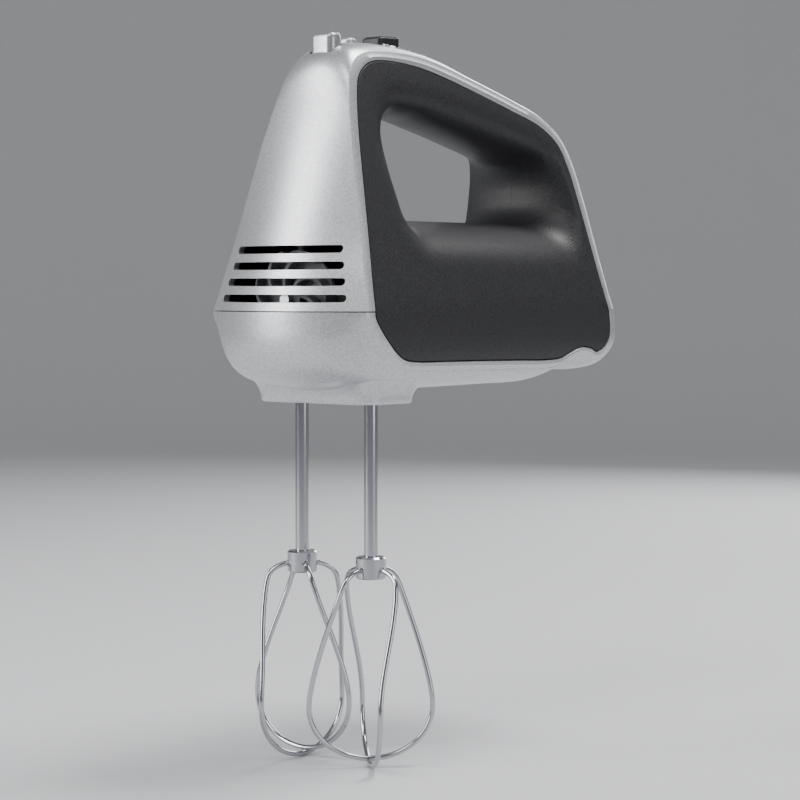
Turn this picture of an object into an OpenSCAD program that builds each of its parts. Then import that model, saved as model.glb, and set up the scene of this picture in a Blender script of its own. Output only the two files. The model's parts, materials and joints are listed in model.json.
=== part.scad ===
// Hand mixer with two wire beaters.
// Origin: midway between the two spindle axes, on the bottom face of the beater boss.
// X runs across the body, +Y towards the rear, +Z up. The vents face -Y.

/* [Body shell] */
// Reach of the front face ahead of the spindle axes, at the split line
front_reach = 43; // [40:0.5:56]
// Reach of the rear face behind the spindle axes
rear_reach = 150; // [146:1:185]
// Width of the body at the split line
body_w = 89; // [74:1:110]
// Height of the split between the upper and lower housings
split_z = 39.5; // [38:0.5:42]
// Height of the top deck above the boss face
deck_z = 156; // [146:1:190]
// Lean of each side towards the middle, in degrees
side_lean = 14.4; // [12:0.2:15]
// Radius of the curved front face
front_r = 80; // [70:1:110]
// Wall thickness of the mouldings
wall = 2.2; // [1.8:0.1:2.8]
// Gap between neighbouring mouldings
seam = 0.3; // [0.2:0.05:0.5]
// Width of the silver rim around each side panel
rim_w = 4.2; // [3:0.1:6]

/* [Grip opening] */
// Front edge of the grip opening, behind the spindle axes
grip_front = 15; // [13:0.5:20]
// Length of the grip opening
grip_len = 107; // [85:1:112]
// Height of the shelf below the hand
shelf_z = 79.5; // [78:0.5:84]
// Height of the underside of the grip, at its front end
grip_under_z = 124; // [114:0.5:128]
// Fall of the grip's underside towards the rear, in degrees
grip_fall = 12; // [8:0.5:15]

/* [Vents and controls] */
// Number of vent slots in the front face
vent_count = 4; // [2:1:5]
// Height of one vent slot
vent_h = 3; // [2:0.1:4]
// Pitch of the vent slots
vent_pitch = 6.9; // [5.5:0.1:8]
// Length of the lowest vent slot
vent_len = 71; // [50:1:72]
// Travel of the beater ejector
eject_travel = 9; // [6:0.5:9]
// Travel of the speed slider
slider_travel = 22; // [15:1:24]

/* [Drive] */
// Distance between the two spindle axes
spindle_gap = 40; // [33:0.5:48]
// Height of the motor shaft above the boss face
motor_z = 44.5; // [44:0.1:46]
// Teeth on each worm gear
gear_teeth = 32; // [28:1:36]
// Pitch radius of the worm
worm_r = 4; // [3.8:0.1:4.4]
// Radius of the motor shaft
shaft_r = 2.5; // [2:0.1:2.6]
// Radius of the armature
armature_r = 15.5; // [13:0.1:15.8]
// Radius of the cooling fan
fan_r = 21; // [15:0.5:22]

/* [Beaters] */
// Diameter of the beater shaft
beater_shaft_d = 6; // [5:0.1:7]
// Length of shaft that shows between the boss and the collar
beater_drop = 66; // [50:1:80]
// Diameter of the beater wire
wire_d = 2.3; // [1.8:0.1:2.8]
// Largest radius of the wire loops, to the middle of the wire
loop_r = 27; // [20:0.2:28]
// Height of the wire loops, from the collar exit to the tip
loop_h = 84.8; // [70:0.2:102]
// Outer diameter of the collar
collar_d = 13.2; // [11.5:0.1:15]
// Height of the collar
collar_h = 9.6; // [8:0.2:12]
// Turn of each loop between its collar exit and its widest point, in degrees
loop_twist = 38; // [20:1:50]

/* [Hidden] */

$fn = 48;
tiny = 0.01;            // overlap that joins solids of one node
far = 400;              // longer than any cut through the body
fit = 0.05;             // radial running clearance
press = 0.02;           // radial gap of a pressed or glued joint

half_w = body_w / 2;
lean_run = tan(side_lean);
front_lean = 15.6;      // lean of the front face, in degrees
front_run = tan(front_lean);
lip = 0.6;              // how far the lower housing stands proud of the upper one
half_gap = spindle_gap / 2;

// Point lists -----------------------------------------------------------------

function unit(v) = v / norm(v);
function left_of(v) = [-v[1], v[0]];

// Corner i of an anticlockwise outline of [a, b, radius], moved inwards by d
function inset_corner(c, i, d) =
    let (n = len(c), p = [c[i][0], c[i][1]],
        q = [c[(i + n - 1) % n][0], c[(i + n - 1) % n][1]],
        s = [c[(i + 1) % n][0], c[(i + 1) % n][1]],
        n1 = left_of(unit(p - q)), n2 = left_of(unit(s - p)),
        turn = n1[0] * n2[1] - n1[1] * n2[0],
        m = p + d * (n1 + n2) / (1 + n1 * n2))
    [m[0], m[1], c[i][2] == 0 ? 0 : max(0.4, c[i][2] - (turn > 0 ? d : -d))];
function inset(c, d) = [for (i = [0 : len(c) - 1]) inset_corner(c, i, d)];

// Outline with an arc of its own radius at every corner
function rounded(c, steps = 6) = [for (i = [0 : len(c) - 1])
    let (n = len(c), p = [c[i][0], c[i][1]], r = c[i][2],
        u = unit([c[(i + n - 1) % n][0], c[(i + n - 1) % n][1]] - p),
        v = unit([c[(i + 1) % n][0], c[(i + 1) % n][1]] - p),
        half = acos(max(-1, min(1, u * v))) / 2,
        reach = r / tan(half), middle = p + unit(u + v) * r / sin(half),
        a0 = p + u * reach - middle, sweep = 180 - 2 * half,
        way = (u[0] * v[1] - u[1] * v[0]) > 0 ? -1 : 1)
    each r == 0 ? [p] : [for (k = [0 : steps])
        let (t = way * sweep * k / steps)
        middle + [a0[0] * cos(t) - a0[1] * sin(t), a0[0] * sin(t) + a0[1] * cos(t)]]];

// Side view of the body, through its middle: [y, z, radius]
top_front_y = -front_reach + (deck_z - split_z) * front_run;
deck_back_y = top_front_y + 52;
rear_top_y = rear_reach - 12;
rear_top_z = deck_z - (rear_top_y - deck_back_y) * tan(15.5);
belly_z = 5;            // lowest point of the underside
slack = 1;              // the outline runs this far ahead of the curved front face
side_view = [
    [-front_reach - slack, belly_z + 4, 16], [-front_reach + 34, belly_z + 1, 30],
    [rear_reach - 10, belly_z + 2, 20], [rear_reach + 1, belly_z + 8, 10],
    [rear_reach, split_z, 60], [rear_top_y, rear_top_z, 20],
    [deck_back_y, deck_z, 60], [top_front_y, deck_z, 15],
    [-front_reach - slack, split_z, 30]];

// Front view of the body: [x, z, radius]
function half_width(z) = half_w - (z - split_z) * lean_run;
front_view = [
    [half_width(deck_z), deck_z, 7], [-half_width(deck_z), deck_z, 7],
    [-half_w, split_z, 0], [-half_w, belly_z, 15],
    [half_w, belly_z, 15], [half_w, split_z, 0]];

// Grip opening in the side view
grip_back = grip_front + grip_len;
grip_view = [
    [grip_front, shelf_z, 14], [grip_back, shelf_z, 14],
    [grip_back + 1, grip_under_z - (grip_len - 24) * tan(grip_fall), 14],
    [grip_front + 25, grip_under_z, 40], [grip_front - 3, grip_under_z + 2, 12]];

// Side panel in the side view; its lower edge steps up over the bowl rest
rest_y = rear_reach - 29;     // middle of the bowl rest
rest_half = 14;
rest_rise = 4.5;
panel_low = belly_z + 13;
panel_top = deck_z - rim_w - 3.8;
panel_view = [
    [-front_reach + 9.3 + rim_w, panel_low, 20], [rest_y - rest_half - 3, panel_low, 8],
    [rest_y - rest_half / 3, panel_low + rest_rise, 6],
    [rest_y + rest_half / 2, panel_low + rest_rise, 6],
    [rear_reach - 14, panel_low + 1.5, 5], [rear_reach - 4, panel_low + 7, 8],
    [rear_reach - 5.5, split_z, 60],
    [rear_top_y - 8.5, rear_top_z - rim_w - 2.8, 15], [deck_back_y - 2, panel_top, 60],
    [top_front_y + 1.2, panel_top, 12]];

// Shared building blocks --------------------------------------------------------

// A side-view outline made into a slab from x0 to x1
module side_slab(c, x0, x1) {
    translate([x0, 0, 0]) rotate([90, 0, 90]) linear_extrude(x1 - x0) polygon(rounded(c));
}

// A front-view outline made into a bar along the body
module front_bar(c) {
    translate([0, far / 2, 0]) rotate([90, 0, 0]) linear_extrude(far) polygon(rounded(c));
}

// Tall cylinder whose front gives the curved front face, leaning back
module front_curve(d, lean) {
    translate([0, -front_reach + front_r / cos(lean), split_z]) rotate([-lean, 0, 0]) {
        cylinder(r = front_r - d, h = far, center = true, $fn = 180);
        translate([-0.8 * front_r, 0, -far / 2]) cube([1.6 * front_r, far, far]);
    }
}

// Solid of the whole body, moved inwards by d
module body_form(d = 0) {
    intersection() {
        side_slab(inset(side_view, d), -half_w - 1, half_w + 1);
        front_bar(inset(front_view, d));
        front_curve(d, front_lean);
    }
}

// Everything below a height
module below(z) { translate([-far / 2, -far / 2, z - far]) cube([far, far, far]); }

// Pocket that the two side panels fill, right through the body
module panel_pocket(d = 0) {
    side_slab(inset(panel_view, d), -half_w - 2, half_w + 2);
}

// Opening in the skin for the panels, no deeper than the skin
module panel_recess() {
    difference() {
        panel_pocket(-seam / 2);
        body_form(wall + seam / 2);
    }
}

// Ledge under the edge of each panel
ledge_w = 3.5;
ledge_t = 1.4;
module ledge() {
    difference() {
        intersection() {
            body_form(wall - 0.8);
            side_slab(inset(panel_view, -1.5), -half_w - 2, half_w + 2);
        }
        body_form(wall + seam / 2 + ledge_t);
        side_slab(inset(panel_view, ledge_w), -half_w - 2, half_w + 2);
    }
}

// Upright screw: pan head below, thread upwards
screw_r = 1.5;
screw_head_r = 3;
screw_head_h = 2;
small_r = 1;
module screw_up(length) {
    cylinder(r = screw_head_r, h = screw_head_h, $fn = 32);
    cylinder(r = screw_r, h = length, $fn = 32);
}

// Round post with a pilot hole for a screw
post_r = 3.6;
module post(h) { cylinder(r = post_r, h = h); }
module pilot(h) { cylinder(r = screw_r + press, h = h, $fn = 32); }

// Housings -----------------------------------------------------------------------

// The lip along the split holds the front, and two screws hold the rear
housing_posts = [for (s = [-1, 1]) [s * 17, rear_reach - 10]];
upper_post_h = 20;
screw_seat_z = belly_z + 13;

vent_low_z = split_z + 5.6;
function front_y(z) = -front_reach + (z - split_z) * front_run;

// Holes of the top deck
button_size = [12.6, 8];
button_y = top_front_y + 4.4;
slide_fall = 5;                     // fall of the speed slider's path, in degrees
slider_y = button_y + 36;           // middle of the thumb piece when off
slider_size = [11, 14];
slot_half_w = 2.6;

cord_r = 3.6;                       // bore for a 7 mm lead
cord_z = split_z + 13;
bushing_r = 6.6;

module upper_housing() {
    color([0.78, 0.78, 0.8]) difference() {
        union() {
            difference() {
                body_form();
                difference() {
                    body_form(wall);
                    for (p = housing_posts) translate([p[0], p[1], split_z])
                        upper_post();
                    for (y = switch_screw_y) translate([0, y, switch_z + switch_h])
                        switch_post();
                }
            }
            ledge();
        }
        below(split_z + seam / 2);
        panel_recess();
        // Vent slots with round ends
        for (i = [0 : vent_count - 1]) let (z = vent_low_z + i * vent_pitch,
            half = vent_len / 2 - i * vent_pitch * lean_run - vent_h / 2) {
            translate([0, -front_reach, z]) rotate([90, 0, 0]) {
                for (s = [-1, 1]) translate([s * half, 0, -28])
                    cylinder(r = vent_h / 2, h = 56, $fn = 24);
                translate([-half, -vent_h / 2, -28]) cube([2 * half, vent_h, 56]);
            }
        }
        // Eject button and speed slider
        translate([-button_size[0] / 2 - seam, button_y - button_size[1] / 2 - seam,
            deck_z - 15]) cube([button_size[0] + 2 * seam, button_size[1] + 2 * seam, 40]);
        translate([-slot_half_w, slider_y - 5, deck_z - 15])
            cube([2 * slot_half_w, slider_travel + 10, 40]);
        // Cord bushing
        translate([0, rear_reach - 12, cord_z]) rotate([-90, 0, 0])
            cylinder(r = bushing_r + press, h = 40);
    }
}

// Post inside the upper housing with a rib to the rear wall
module upper_post() {
    difference() {
        union() {
            post(upper_post_h);
            translate([-1, 0, 0]) cube([2, 24, upper_post_h]);
        }
        translate([0, 0, -1]) pilot(upper_post_h - 3);
    }
}

// Post below the deck for the speed switch
module switch_post() {
    difference() {
        cylinder(r = 2.6, h = 20);
        translate([0, 0, -1]) cylinder(r = small_r + press, h = 6.5, $fn = 24);
    }
}

// Beater boss: [x, y, radius] at the bottom face
boss_half = [33, 17];
boss_r = 8;
boss_top_z = belly_z + 9;
boss_flare = 4;
boss_wall = 3;
function boss_outline(d) = let (x = boss_half[0] - 20 + half_gap + d, y = boss_half[1] + d)
    [[x, -y, boss_r + d], [x, y, boss_r + d], [-x, y, boss_r + d], [-x, -y, boss_r + d]];
module boss_form(d, z0) {
    hull() {
        translate([0, 0, z0]) linear_extrude(tiny) polygon(rounded(boss_outline(d)));
        translate([0, 0, boss_top_z]) linear_extrude(tiny)
            polygon(rounded(boss_outline(d + boss_flare)));
    }
}

mouth_r = 7.2;                       // hole in the boss for each beater
cradle_y = [31, 56];                 // ribs below the stator
frame_z = 28;                        // underside of the gearbox frame
frame_posts = [for (sx = [-1, 1], y = [-15, 18]) [sx * (half_gap + 11), y]];
bracket_y = 88;
bracket_posts = [for (sx = [-1, 1]) [sx * 13, bracket_y + 4.5]];
clamp_y = rear_reach - 20;
clamp_posts = [for (sx = [-1, 1]) [sx * 8.5, clamp_y]];
clamp_post_top = cord_z - cord_r - 1.4;
bracket_foot_z = 16;
capacitor_y = bracket_y + 10;
capacitor_z = 16;
terminal_y = rest_y - 4;
terminal_z = 21;

module lower_form(d = 0) {
    intersection() {
        side_slab(inset(side_view, d - lip), -half_w - 2, half_w + 2);
        front_bar(inset(front_view, d - lip));
        front_curve(d - lip, 0);
    }
}

module bowl_rest(d = 0) {
    translate([-far / 2, rest_y, belly_z - 12.5 - d]) rotate([0, 90, 0])
        cylinder(r = 25, h = far, $fn = 96);
}

module lower_housing() {
    color([0.76, 0.76, 0.78]) difference() {
        union() {
            difference() {
                union() {
                    intersection() { lower_form(); below(split_z - seam / 2); }
                    boss_form(0, 0);
                }
                difference() {
                    union() {
                        intersection() { lower_form(wall); below(split_z + 1); }
                        boss_form(-boss_wall, boss_wall);
                    }
                    bowl_rest(-wall);
                }
            }
            // Posts and ribs that stand on the floor
            intersection() {
                union() {
                    for (p = housing_posts) translate([p[0], p[1], 0])
                        post(split_z - seam / 2);
                    for (p = frame_posts) translate([p[0], p[1], 0]) post(frame_z);
                    for (p = bracket_posts) translate([p[0], p[1], 0]) post(bracket_foot_z);
                    for (p = clamp_posts) translate([p[0], p[1], 0]) post(clamp_post_top);
                    for (y = cradle_y) translate([-19, y, 0])
                        cube([38, 2.5, motor_z - stator_h / 2]);
                    translate([-8, capacitor_y + 1, 0]) cube([16, 8, capacitor_z]);
                    translate([-9, terminal_y + 1, 0]) cube([18, 6, terminal_z]);
                }
                union() { lower_form(); boss_form(0, 0); }
            }
            intersection() { ledge(); below(split_z - seam / 2); }
        }
        panel_recess();
        bowl_rest();
        // Screw holes, seats and pilots
        for (p = housing_posts) translate([p[0], p[1], 0]) {
            translate([0, 0, -1]) cylinder(r = screw_head_r + seam, h = screw_seat_z + 1);
            translate([0, 0, -1]) cylinder(r = screw_r + seam, h = split_z + 2);
        }
        for (p = frame_posts) translate([p[0], p[1], frame_z - 12]) pilot(13);
        for (p = bracket_posts) translate([p[0], p[1], belly_z + 3]) pilot(30);
        for (p = clamp_posts) translate([p[0], p[1], clamp_post_top - 12]) pilot(13);
        // Mouths for the beaters
        for (s = [-1, 1]) translate([s * half_gap, 0, -1]) cylinder(r = mouth_r, h = 30);
    }
}

// One side panel with its half of the grip; side is 1 on the right and -1 on the left
module side_panel(side) {
    color([0.25, 0.25, 0.27]) difference() {
        intersection() {
            body_form();
            panel_pocket(seam / 2);
            translate([side > 0 ? seam / 2 : -far - seam / 2, -far / 2, 0])
                cube([far, far, far]);
        }
        side_slab(grip_view, -half_w - 2, half_w + 2);
        difference() {
            body_form(wall);
            side_slab(inset(grip_view, -wall), -half_w - 2, half_w + 2);
        }
    }
}
module left_side_panel() { side_panel(-1); }
module right_side_panel() { side_panel(1); }

module housing_screws() {
    color("silver") for (p = housing_posts)
        translate([p[0], p[1], screw_seat_z - screw_head_h]) screw_up(split_z - screw_seat_z + 14);
}

// Gearbox ------------------------------------------------------------------------

module_mm = 2 * (half_gap - worm_r) / gear_teeth;   // size of the gear teeth
gear_r = half_gap - worm_r;                         // pitch radius of each worm gear
gear_w = 8;
sleeve_r = 6;                    // outer radius of each spindle
neck_r = 4.4;                    // upper end of each spindle
bush_t = 2;
tower_r = 10.5;
frame_t = 4;
gear_base = motor_z - gear_w / 2;
hub_base = gear_base - 3.5;
cover_z = motor_z + 9;
cover_t = 3.4;
spindle_top = cover_z + cover_t + 0.8;
spindle_base = 3.5;
bush_base = 13;
front_bearing_y = -20;
bearing_w = 7;
bearing_r = 5.5;
frame_front_y = -21.2;
cover_post_y = 20.5;
cover_posts = [for (s = [-1, 1], p = [[9, cover_post_y], [7.2, frame_front_y + 1.5]])
    [s * p[0], p[1]]];

module across_y(y0, h, r) {
    translate([0, y0, motor_z]) rotate([-90, 0, 0]) cylinder(r = r, h = h);
}

module gearbox_frame() {
    color([0.2, 0.2, 0.22]) difference() {
        union() {
            translate([-half_gap - 15, frame_front_y + 1, frame_z])
                cube([spindle_gap + 30, 43, frame_t]);
            for (s = [-1, 1]) translate([s * half_gap, 0, bush_base])
                cylinder(r = tower_r, h = frame_z + frame_t - bush_base);
            translate([-9, frame_front_y, frame_z]) cube([18, 3, cover_z - frame_z]);
            across_y(frame_front_y, front_bearing_y + bearing_w - frame_front_y, bearing_r + 1.8);
            for (s = [-1, 1]) translate([s * 9, cover_post_y, frame_z])
                cylinder(r = 3, h = cover_z - frame_z);
        }
        for (s = [-1, 1]) translate([s * half_gap, 0, bush_base - 1])
            cylinder(r = sleeve_r + bush_t + press, h = far);
        across_y(front_bearing_y, bearing_w + 1, bearing_r + press);
        across_y(frame_front_y - 1, 10, shaft_r + 1);
        for (p = frame_posts) translate([p[0], p[1], frame_z - 1])
            cylinder(r = screw_r + press, h = frame_t + 2, $fn = 32);
        for (p = cover_posts) translate([p[0], p[1], cover_z - 7.5])
            cylinder(r = small_r + press, h = 9, $fn = 32);
    }
}

module gearbox_cover() {
    color([0.2, 0.2, 0.22]) difference() {
        union() {
            translate([-half_gap, -8, cover_z]) cube([spindle_gap, 16, cover_t]);
            for (s = [-1, 1]) translate([s * half_gap, 0, cover_z]) cylinder(r = 8, h = cover_t);
            translate([-12.5, frame_front_y, cover_z])
                cube([25, cover_post_y + 3.5 - frame_front_y, cover_t]);
        }
        for (s = [-1, 1]) translate([s * half_gap, 0, cover_z - 1])
            cylinder(r = neck_r + fit, h = cover_t + 2);
        for (p = cover_posts) translate([p[0], p[1], cover_z - 1])
            cylinder(r = small_r + press, h = cover_t + 2, $fn = 32);
    }
}

module frame_screws() {
    color("silver") for (p = frame_posts) translate([p[0], p[1], frame_z + frame_t])
        small_screw(screw_r, screw_head_r, 13);
}
module cover_screws() {
    color("silver") for (p = cover_posts) translate([p[0], p[1], cover_z + cover_t])
        small_screw(small_r, 1.9, 10);
}
// Pan-head screw whose head sits on z = 0 and whose thread goes down
module small_screw(r, head_r, length) {
    translate([0, 0, -length]) cylinder(r = r, h = length, $fn = 32);
    cylinder(r = head_r, h = 1.6, $fn = 32);
}

module spindle_bushes() {
    color([0.72, 0.5, 0.28]) for (s = [-1, 1]) translate([s * half_gap, 0, bush_base])
        difference() {
            cylinder(r = sleeve_r + bush_t, h = frame_z + frame_t - bush_base);
            translate([0, 0, -1]) cylinder(r = sleeve_r + fit, h = 40);
        }
}

module shaft_bearing(y0) {
    color([0.72, 0.5, 0.28]) difference() {
        across_y(y0, bearing_w - 0.5, bearing_r);
        across_y(y0 - 1, bearing_w + 2, shaft_r + fit);
    }
}
module front_bearing() { shaft_bearing(front_bearing_y); }
module rear_bearing() { shaft_bearing(bracket_y - 1.5); }

module thrust_washer() {
    color("silver") difference() {
        across_y(front_bearing_y + bearing_w + 0.6, 1, 4.6);
        across_y(front_bearing_y + bearing_w, 3, shaft_r + fit);
    }
}

// Bracket for the rear bearing and the brushes
brush_y = 76;
brush_in = 9.6;              // where each brush meets the commutator
tube_in = 12;
tube_len = 15;
tube_side = 8.4;
module rear_bearing_bracket() {
    color([0.2, 0.2, 0.22]) difference() {
        union() {
            translate([-17, bracket_y - 3, bracket_foot_z])
                cube([34, 3, motor_z + 11 - bracket_foot_z]);
            translate([-17, bracket_y - 3, bracket_foot_z]) cube([34, 11, 4]);
            across_y(bracket_y - 3, bearing_w + 1.6, bearing_r + 2);
            for (s = [-1, 1])
                translate([s * (tube_in + tube_len / 2) - 6, brush_y - 5, motor_z - tube_side / 2 - 2.2])
                    cube([12, bracket_y - 3 - brush_y + 6, 2.2]);
        }
        across_y(bracket_y - 1.5, bearing_w + 3, bearing_r + press);
        across_y(bracket_y - 5, 8, shaft_r + 1);
        for (p = bracket_posts) translate([p[0], p[1], bracket_foot_z - 1])
            cylinder(r = screw_r + press, h = 6, $fn = 32);
    }
}
module bracket_screws() {
    color("silver") for (p = bracket_posts) translate([p[0], p[1], bracket_foot_z + 4])
        small_screw(screw_r, screw_head_r - 0.2, 11);
}

// Motor --------------------------------------------------------------------------

stator_w = 48;
stator_h = 44;
stator_y = 30;
stator_len = 29;
air_gap = 0.6;
window_w = 4.4;
window_h = 21;
stator_bore = armature_r + air_gap;

module stator_core() {
    color([0.55, 0.56, 0.58]) translate([0, stator_y + stator_len, motor_z])
        rotate([90, 0, 0]) linear_extrude(stator_len) difference() {
            square([stator_w, stator_h], center = true);
            circle(r = stator_bore, $fn = 96);
            for (s = [-1, 1]) translate([s * (stator_bore + window_w / 2), 0])
                square([window_w + 1, window_h], center = true);
            for (sx = [-1, 1], sz = [-1, 1]) translate([sx * 19.5, sz * 17.5]) circle(r = 1.6);
        }
}

coil_in = stator_bore + 0.9;
coil_t = window_w - 1;
module field_coils() {
    color([0.72, 0.35, 0.16]) for (top = [0, 1])
        translate([0, 0, motor_z]) rotate([0, top * 180, 0]) {
            for (s = [-1, 1]) translate([s * (coil_in + coil_t / 2) - coil_t / 2, stator_y - 4.5, 0.8])
                cube([coil_t, stator_len + 9, window_h / 2 - 1.2]);
            for (y = [stator_y - 4.5, stator_y + stator_len + 0.5])
                translate([0, y, 0]) rotate([-90, 0, 0]) difference() {
                    cylinder(r = coil_in + coil_t, h = 4, $fn = 64);
                    translate([0, 0, -1]) cylinder(r = coil_in, h = 6, $fn = 64);
                    translate([-40, -0.8, -1]) cube([80, 40, 6]);
                }
        }
}

module stator_bolts() {
    color("silver") for (sx = [-1, 1], sz = [-1, 1])
        translate([sx * 19.5, stator_y - 2.5, motor_z + sz * 17.5]) rotate([-90, 0, 0]) {
            cylinder(r = 2.8, h = 2.4, $fn = 6);
            cylinder(r = 1.55, h = stator_len + 4, $fn = 24);
        }
}

module brush_holders() {
    color([0.75, 0.62, 0.3]) for (s = [-1, 1]) difference() {
        translate([s * (tube_in + tube_len / 2), brush_y, motor_z])
            cube([tube_len, tube_side, tube_side], center = true);
        translate([s * (tube_in + tube_len / 2 - 1), brush_y, motor_z])
            cube([tube_len, tube_side - 2, tube_side - 2], center = true);
    }
}
module carbon_brushes() {
    color([0.12, 0.12, 0.13]) for (s = [-1, 1])
        translate([s * (brush_in + 5), brush_y, motor_z]) cube([10, 6, 6], center = true);
}
module brush_springs() {
    color("silver") for (s = [-1, 1], i = [0 : 4])
        translate([s * (brush_in + 10.6 + i * 1.15), brush_y, motor_z]) rotate([0, 90, 0])
            rotate_extrude($fn = 32) translate([2.1, 0]) circle(r = 0.35, $fn = 16);
}

module motor_shaft() {
    color([0.8, 0.8, 0.82]) across_y(-33, bracket_y + bearing_w + 33, shaft_r);
}

// Two-start worm
worm_len = 15;
worm_starts = 2;
tooth_pitch = PI * module_mm;
worm_lead = worm_starts * tooth_pitch;
tooth_play = 0.25;           // clearance on each flank
tip = 0.85 * module_mm;
root = 1.1 * module_mm;
function flank(h) = (tooth_pitch / 4 - tooth_play) - h * tan(20);
worm_section = [for (s = [0 : worm_starts - 1], p = [
        [-tooth_pitch / 2, -root], [-tooth_pitch * 0.4, -root], [-flank(-root), -root],
        [-flank(tip), tip], [flank(tip), tip], [flank(-root), -root],
        [tooth_pitch * 0.4, -root]])
    let (angle = 360 * (s * tooth_pitch + p[0]) / worm_lead, r = worm_r + p[1])
    r * [cos(angle), sin(angle)]];
module worm() {
    turns = worm_len / worm_lead;
    color([0.75, 0.75, 0.78]) difference() {
        translate([0, worm_len / 2, motor_z]) rotate([90, 0, 0])
            linear_extrude(worm_len, twist = -360 * turns, slices = round(turns * 18))
                rotate(-180 * turns) polygon(worm_section);
        across_y(-worm_len, 2 * worm_len, shaft_r + press);
    }
}

helix_turn = gear_w * module_mm * worm_starts / 2 / worm_r / gear_r * 180 / PI;
module worm_gear(side) {
    tooth = [for (i = [0 : gear_teeth - 1], p = [
            [-flank(-tip) , -root], [-flank(-tip) + 0.12, -root + 0.25], [-flank(tip), tip],
            [flank(tip), tip], [flank(-tip) - 0.12, -root + 0.25], [flank(-tip), -root]])
        let (angle = 360 * (i + 0.5) / gear_teeth + p[0] / gear_r * 180 / PI, r = gear_r + p[1])
        r * [cos(angle), sin(angle)]];
    color([0.9, 0.88, 0.8]) translate([side * half_gap, 0, 0]) difference() {
        union() {
            translate([0, 0, gear_base]) linear_extrude(gear_w, twist = -helix_turn, slices = 4)
                rotate(-helix_turn / 2) polygon(tooth);
            translate([0, 0, hub_base]) cylinder(r = 9.5, h = gear_w + 6);
        }
        translate([0, 0, hub_base - 1]) cylinder(r = sleeve_r + press, h = gear_w + 10);
    }
}
module left_worm_gear() { worm_gear(-1); }
module right_worm_gear() { worm_gear(1); }

module armature_core() {
    slots = 12;
    color([0.5, 0.51, 0.53]) translate([0, stator_y + stator_len - 1, motor_z]) rotate([90, 0, 0])
        linear_extrude(stator_len - 2) difference() {
            circle(r = armature_r, $fn = 96);
            circle(r = shaft_r + press);
            for (i = [0 : slots - 1]) rotate((i + 0.5) * 360 / slots)
                translate([armature_r - 4, -0.9]) square([6, 1.8]);
        }
}
module armature_windings() {
    color([0.72, 0.35, 0.16]) for (y = [stator_y - 5, stator_y + stator_len - 0.9])
        difference() {
            across_y(y, 5.8, armature_r - 2.4);
            across_y(y - 1, 8, shaft_r + press);
        }
}
module commutator() {
    segments = 12;
    color([0.8, 0.5, 0.3]) translate([0, brush_y + 6, motor_z]) rotate([90, 0, 0])
        linear_extrude(12) difference() {
            circle(r = brush_in - 0.15, $fn = 64);
            circle(r = shaft_r + press);
            for (i = [0 : segments - 1]) rotate(i * 360 / segments)
                translate([brush_in - 1.2, -0.3]) square([2, 0.6]);
        }
}

fan_y = -30;
fan_w = 7;
module cooling_fan() {
    blades = 7;
    color([0.82, 0.83, 0.84]) difference() {
        union() {
            across_y(fan_y, fan_w, 6);
            across_y(fan_y + fan_w - 1.6, 1.6, fan_r);
            translate([0, fan_y + fan_w - 1, motor_z]) rotate([90, 0, 0])
                linear_extrude(fan_w - 1) for (i = [0 : blades - 1]) rotate(i * 360 / blades)
                    difference() {
                        translate([fan_r / 2, 0]) circle(r = fan_r / 2 - 0.2, $fn = 48);
                        translate([fan_r / 2, -1.3]) circle(r = fan_r / 2 - 0.6, $fn = 48);
                        translate([0, -fan_r - 1]) square([fan_r * 2, fan_r]);
                    }
        }
        across_y(fan_y - 1, fan_w + 2, shaft_r + press);
    }
}

// Spindles and ejector -------------------------------------------------------------

shaft_top = 34;                 // top of each beater shaft inside its spindle
beater_r = beater_shaft_d / 2;
flat_half = beater_r - 0.75;    // half the width across the drive flats
flat_base = 20;
pin_r = 2.2;
pin_top = spindle_top + eject_travel + 1.5;

module spindle(side) {
    color([0.68, 0.69, 0.71]) translate([side * half_gap, 0, 0]) difference() {
        union() {
            translate([0, 0, spindle_base]) cylinder(r = sleeve_r, h = gear_base + gear_w + 2 - spindle_base);
            translate([0, 0, gear_base]) cylinder(r = neck_r, h = spindle_top - gear_base);
        }
        // Round mouth, then two flats that drive the beater, then the pin's bore
        translate([0, 0, spindle_base - 1]) cylinder(r = beater_r + fit, h = flat_base - spindle_base + 1);
        intersection() {
            translate([0, 0, flat_base - 1]) cylinder(r = beater_r + fit, h = shaft_top + 1.5 - flat_base + 1);
            translate([-10, -flat_half - fit, flat_base - 1]) cube([20, 2 * (flat_half + fit), 40]);
        }
        translate([0, 0, shaft_top]) cylinder(r = pin_r + fit, h = 60);
        // Groove for the retaining ring
        translate([0, 0, ring_z]) difference() {
            cylinder(r = sleeve_r + 1, h = ring_t);
            translate([0, 0, -1]) cylinder(r = sleeve_r - 0.8, h = ring_t + 2);
        }
    }
}
ring_t = 1;
ring_z = bush_base - 2.2;
module left_spindle() { spindle(-1); }
module right_spindle() { spindle(1); }

module retaining_ring(side) {
    color("silver") translate([side * half_gap, 0, ring_z + 0.1]) difference() {
        cylinder(r = sleeve_r + 1.6, h = ring_t - 0.2);
        translate([0, 0, -1]) cylinder(r = sleeve_r - 0.8 + press, h = 4);
        translate([0, -1.5, -1]) cube([20, 3, 4]);
    }
}
module left_retaining_ring() { retaining_ring(-1); }
module right_retaining_ring() { retaining_ring(1); }

module ejector_pin(side) {
    color("silver") translate([side * half_gap, 0, 0]) {
        translate([0, 0, shaft_top + 0.2]) cylinder(r = pin_r, h = pin_top - shaft_top - 0.2);
        translate([0, 0, pin_top - 0.5]) cylinder(r = 4.2, h = 2);
    }
}
module left_ejector_pin() { ejector_pin(-1); }
module right_ejector_pin() { ejector_pin(1); }

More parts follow.
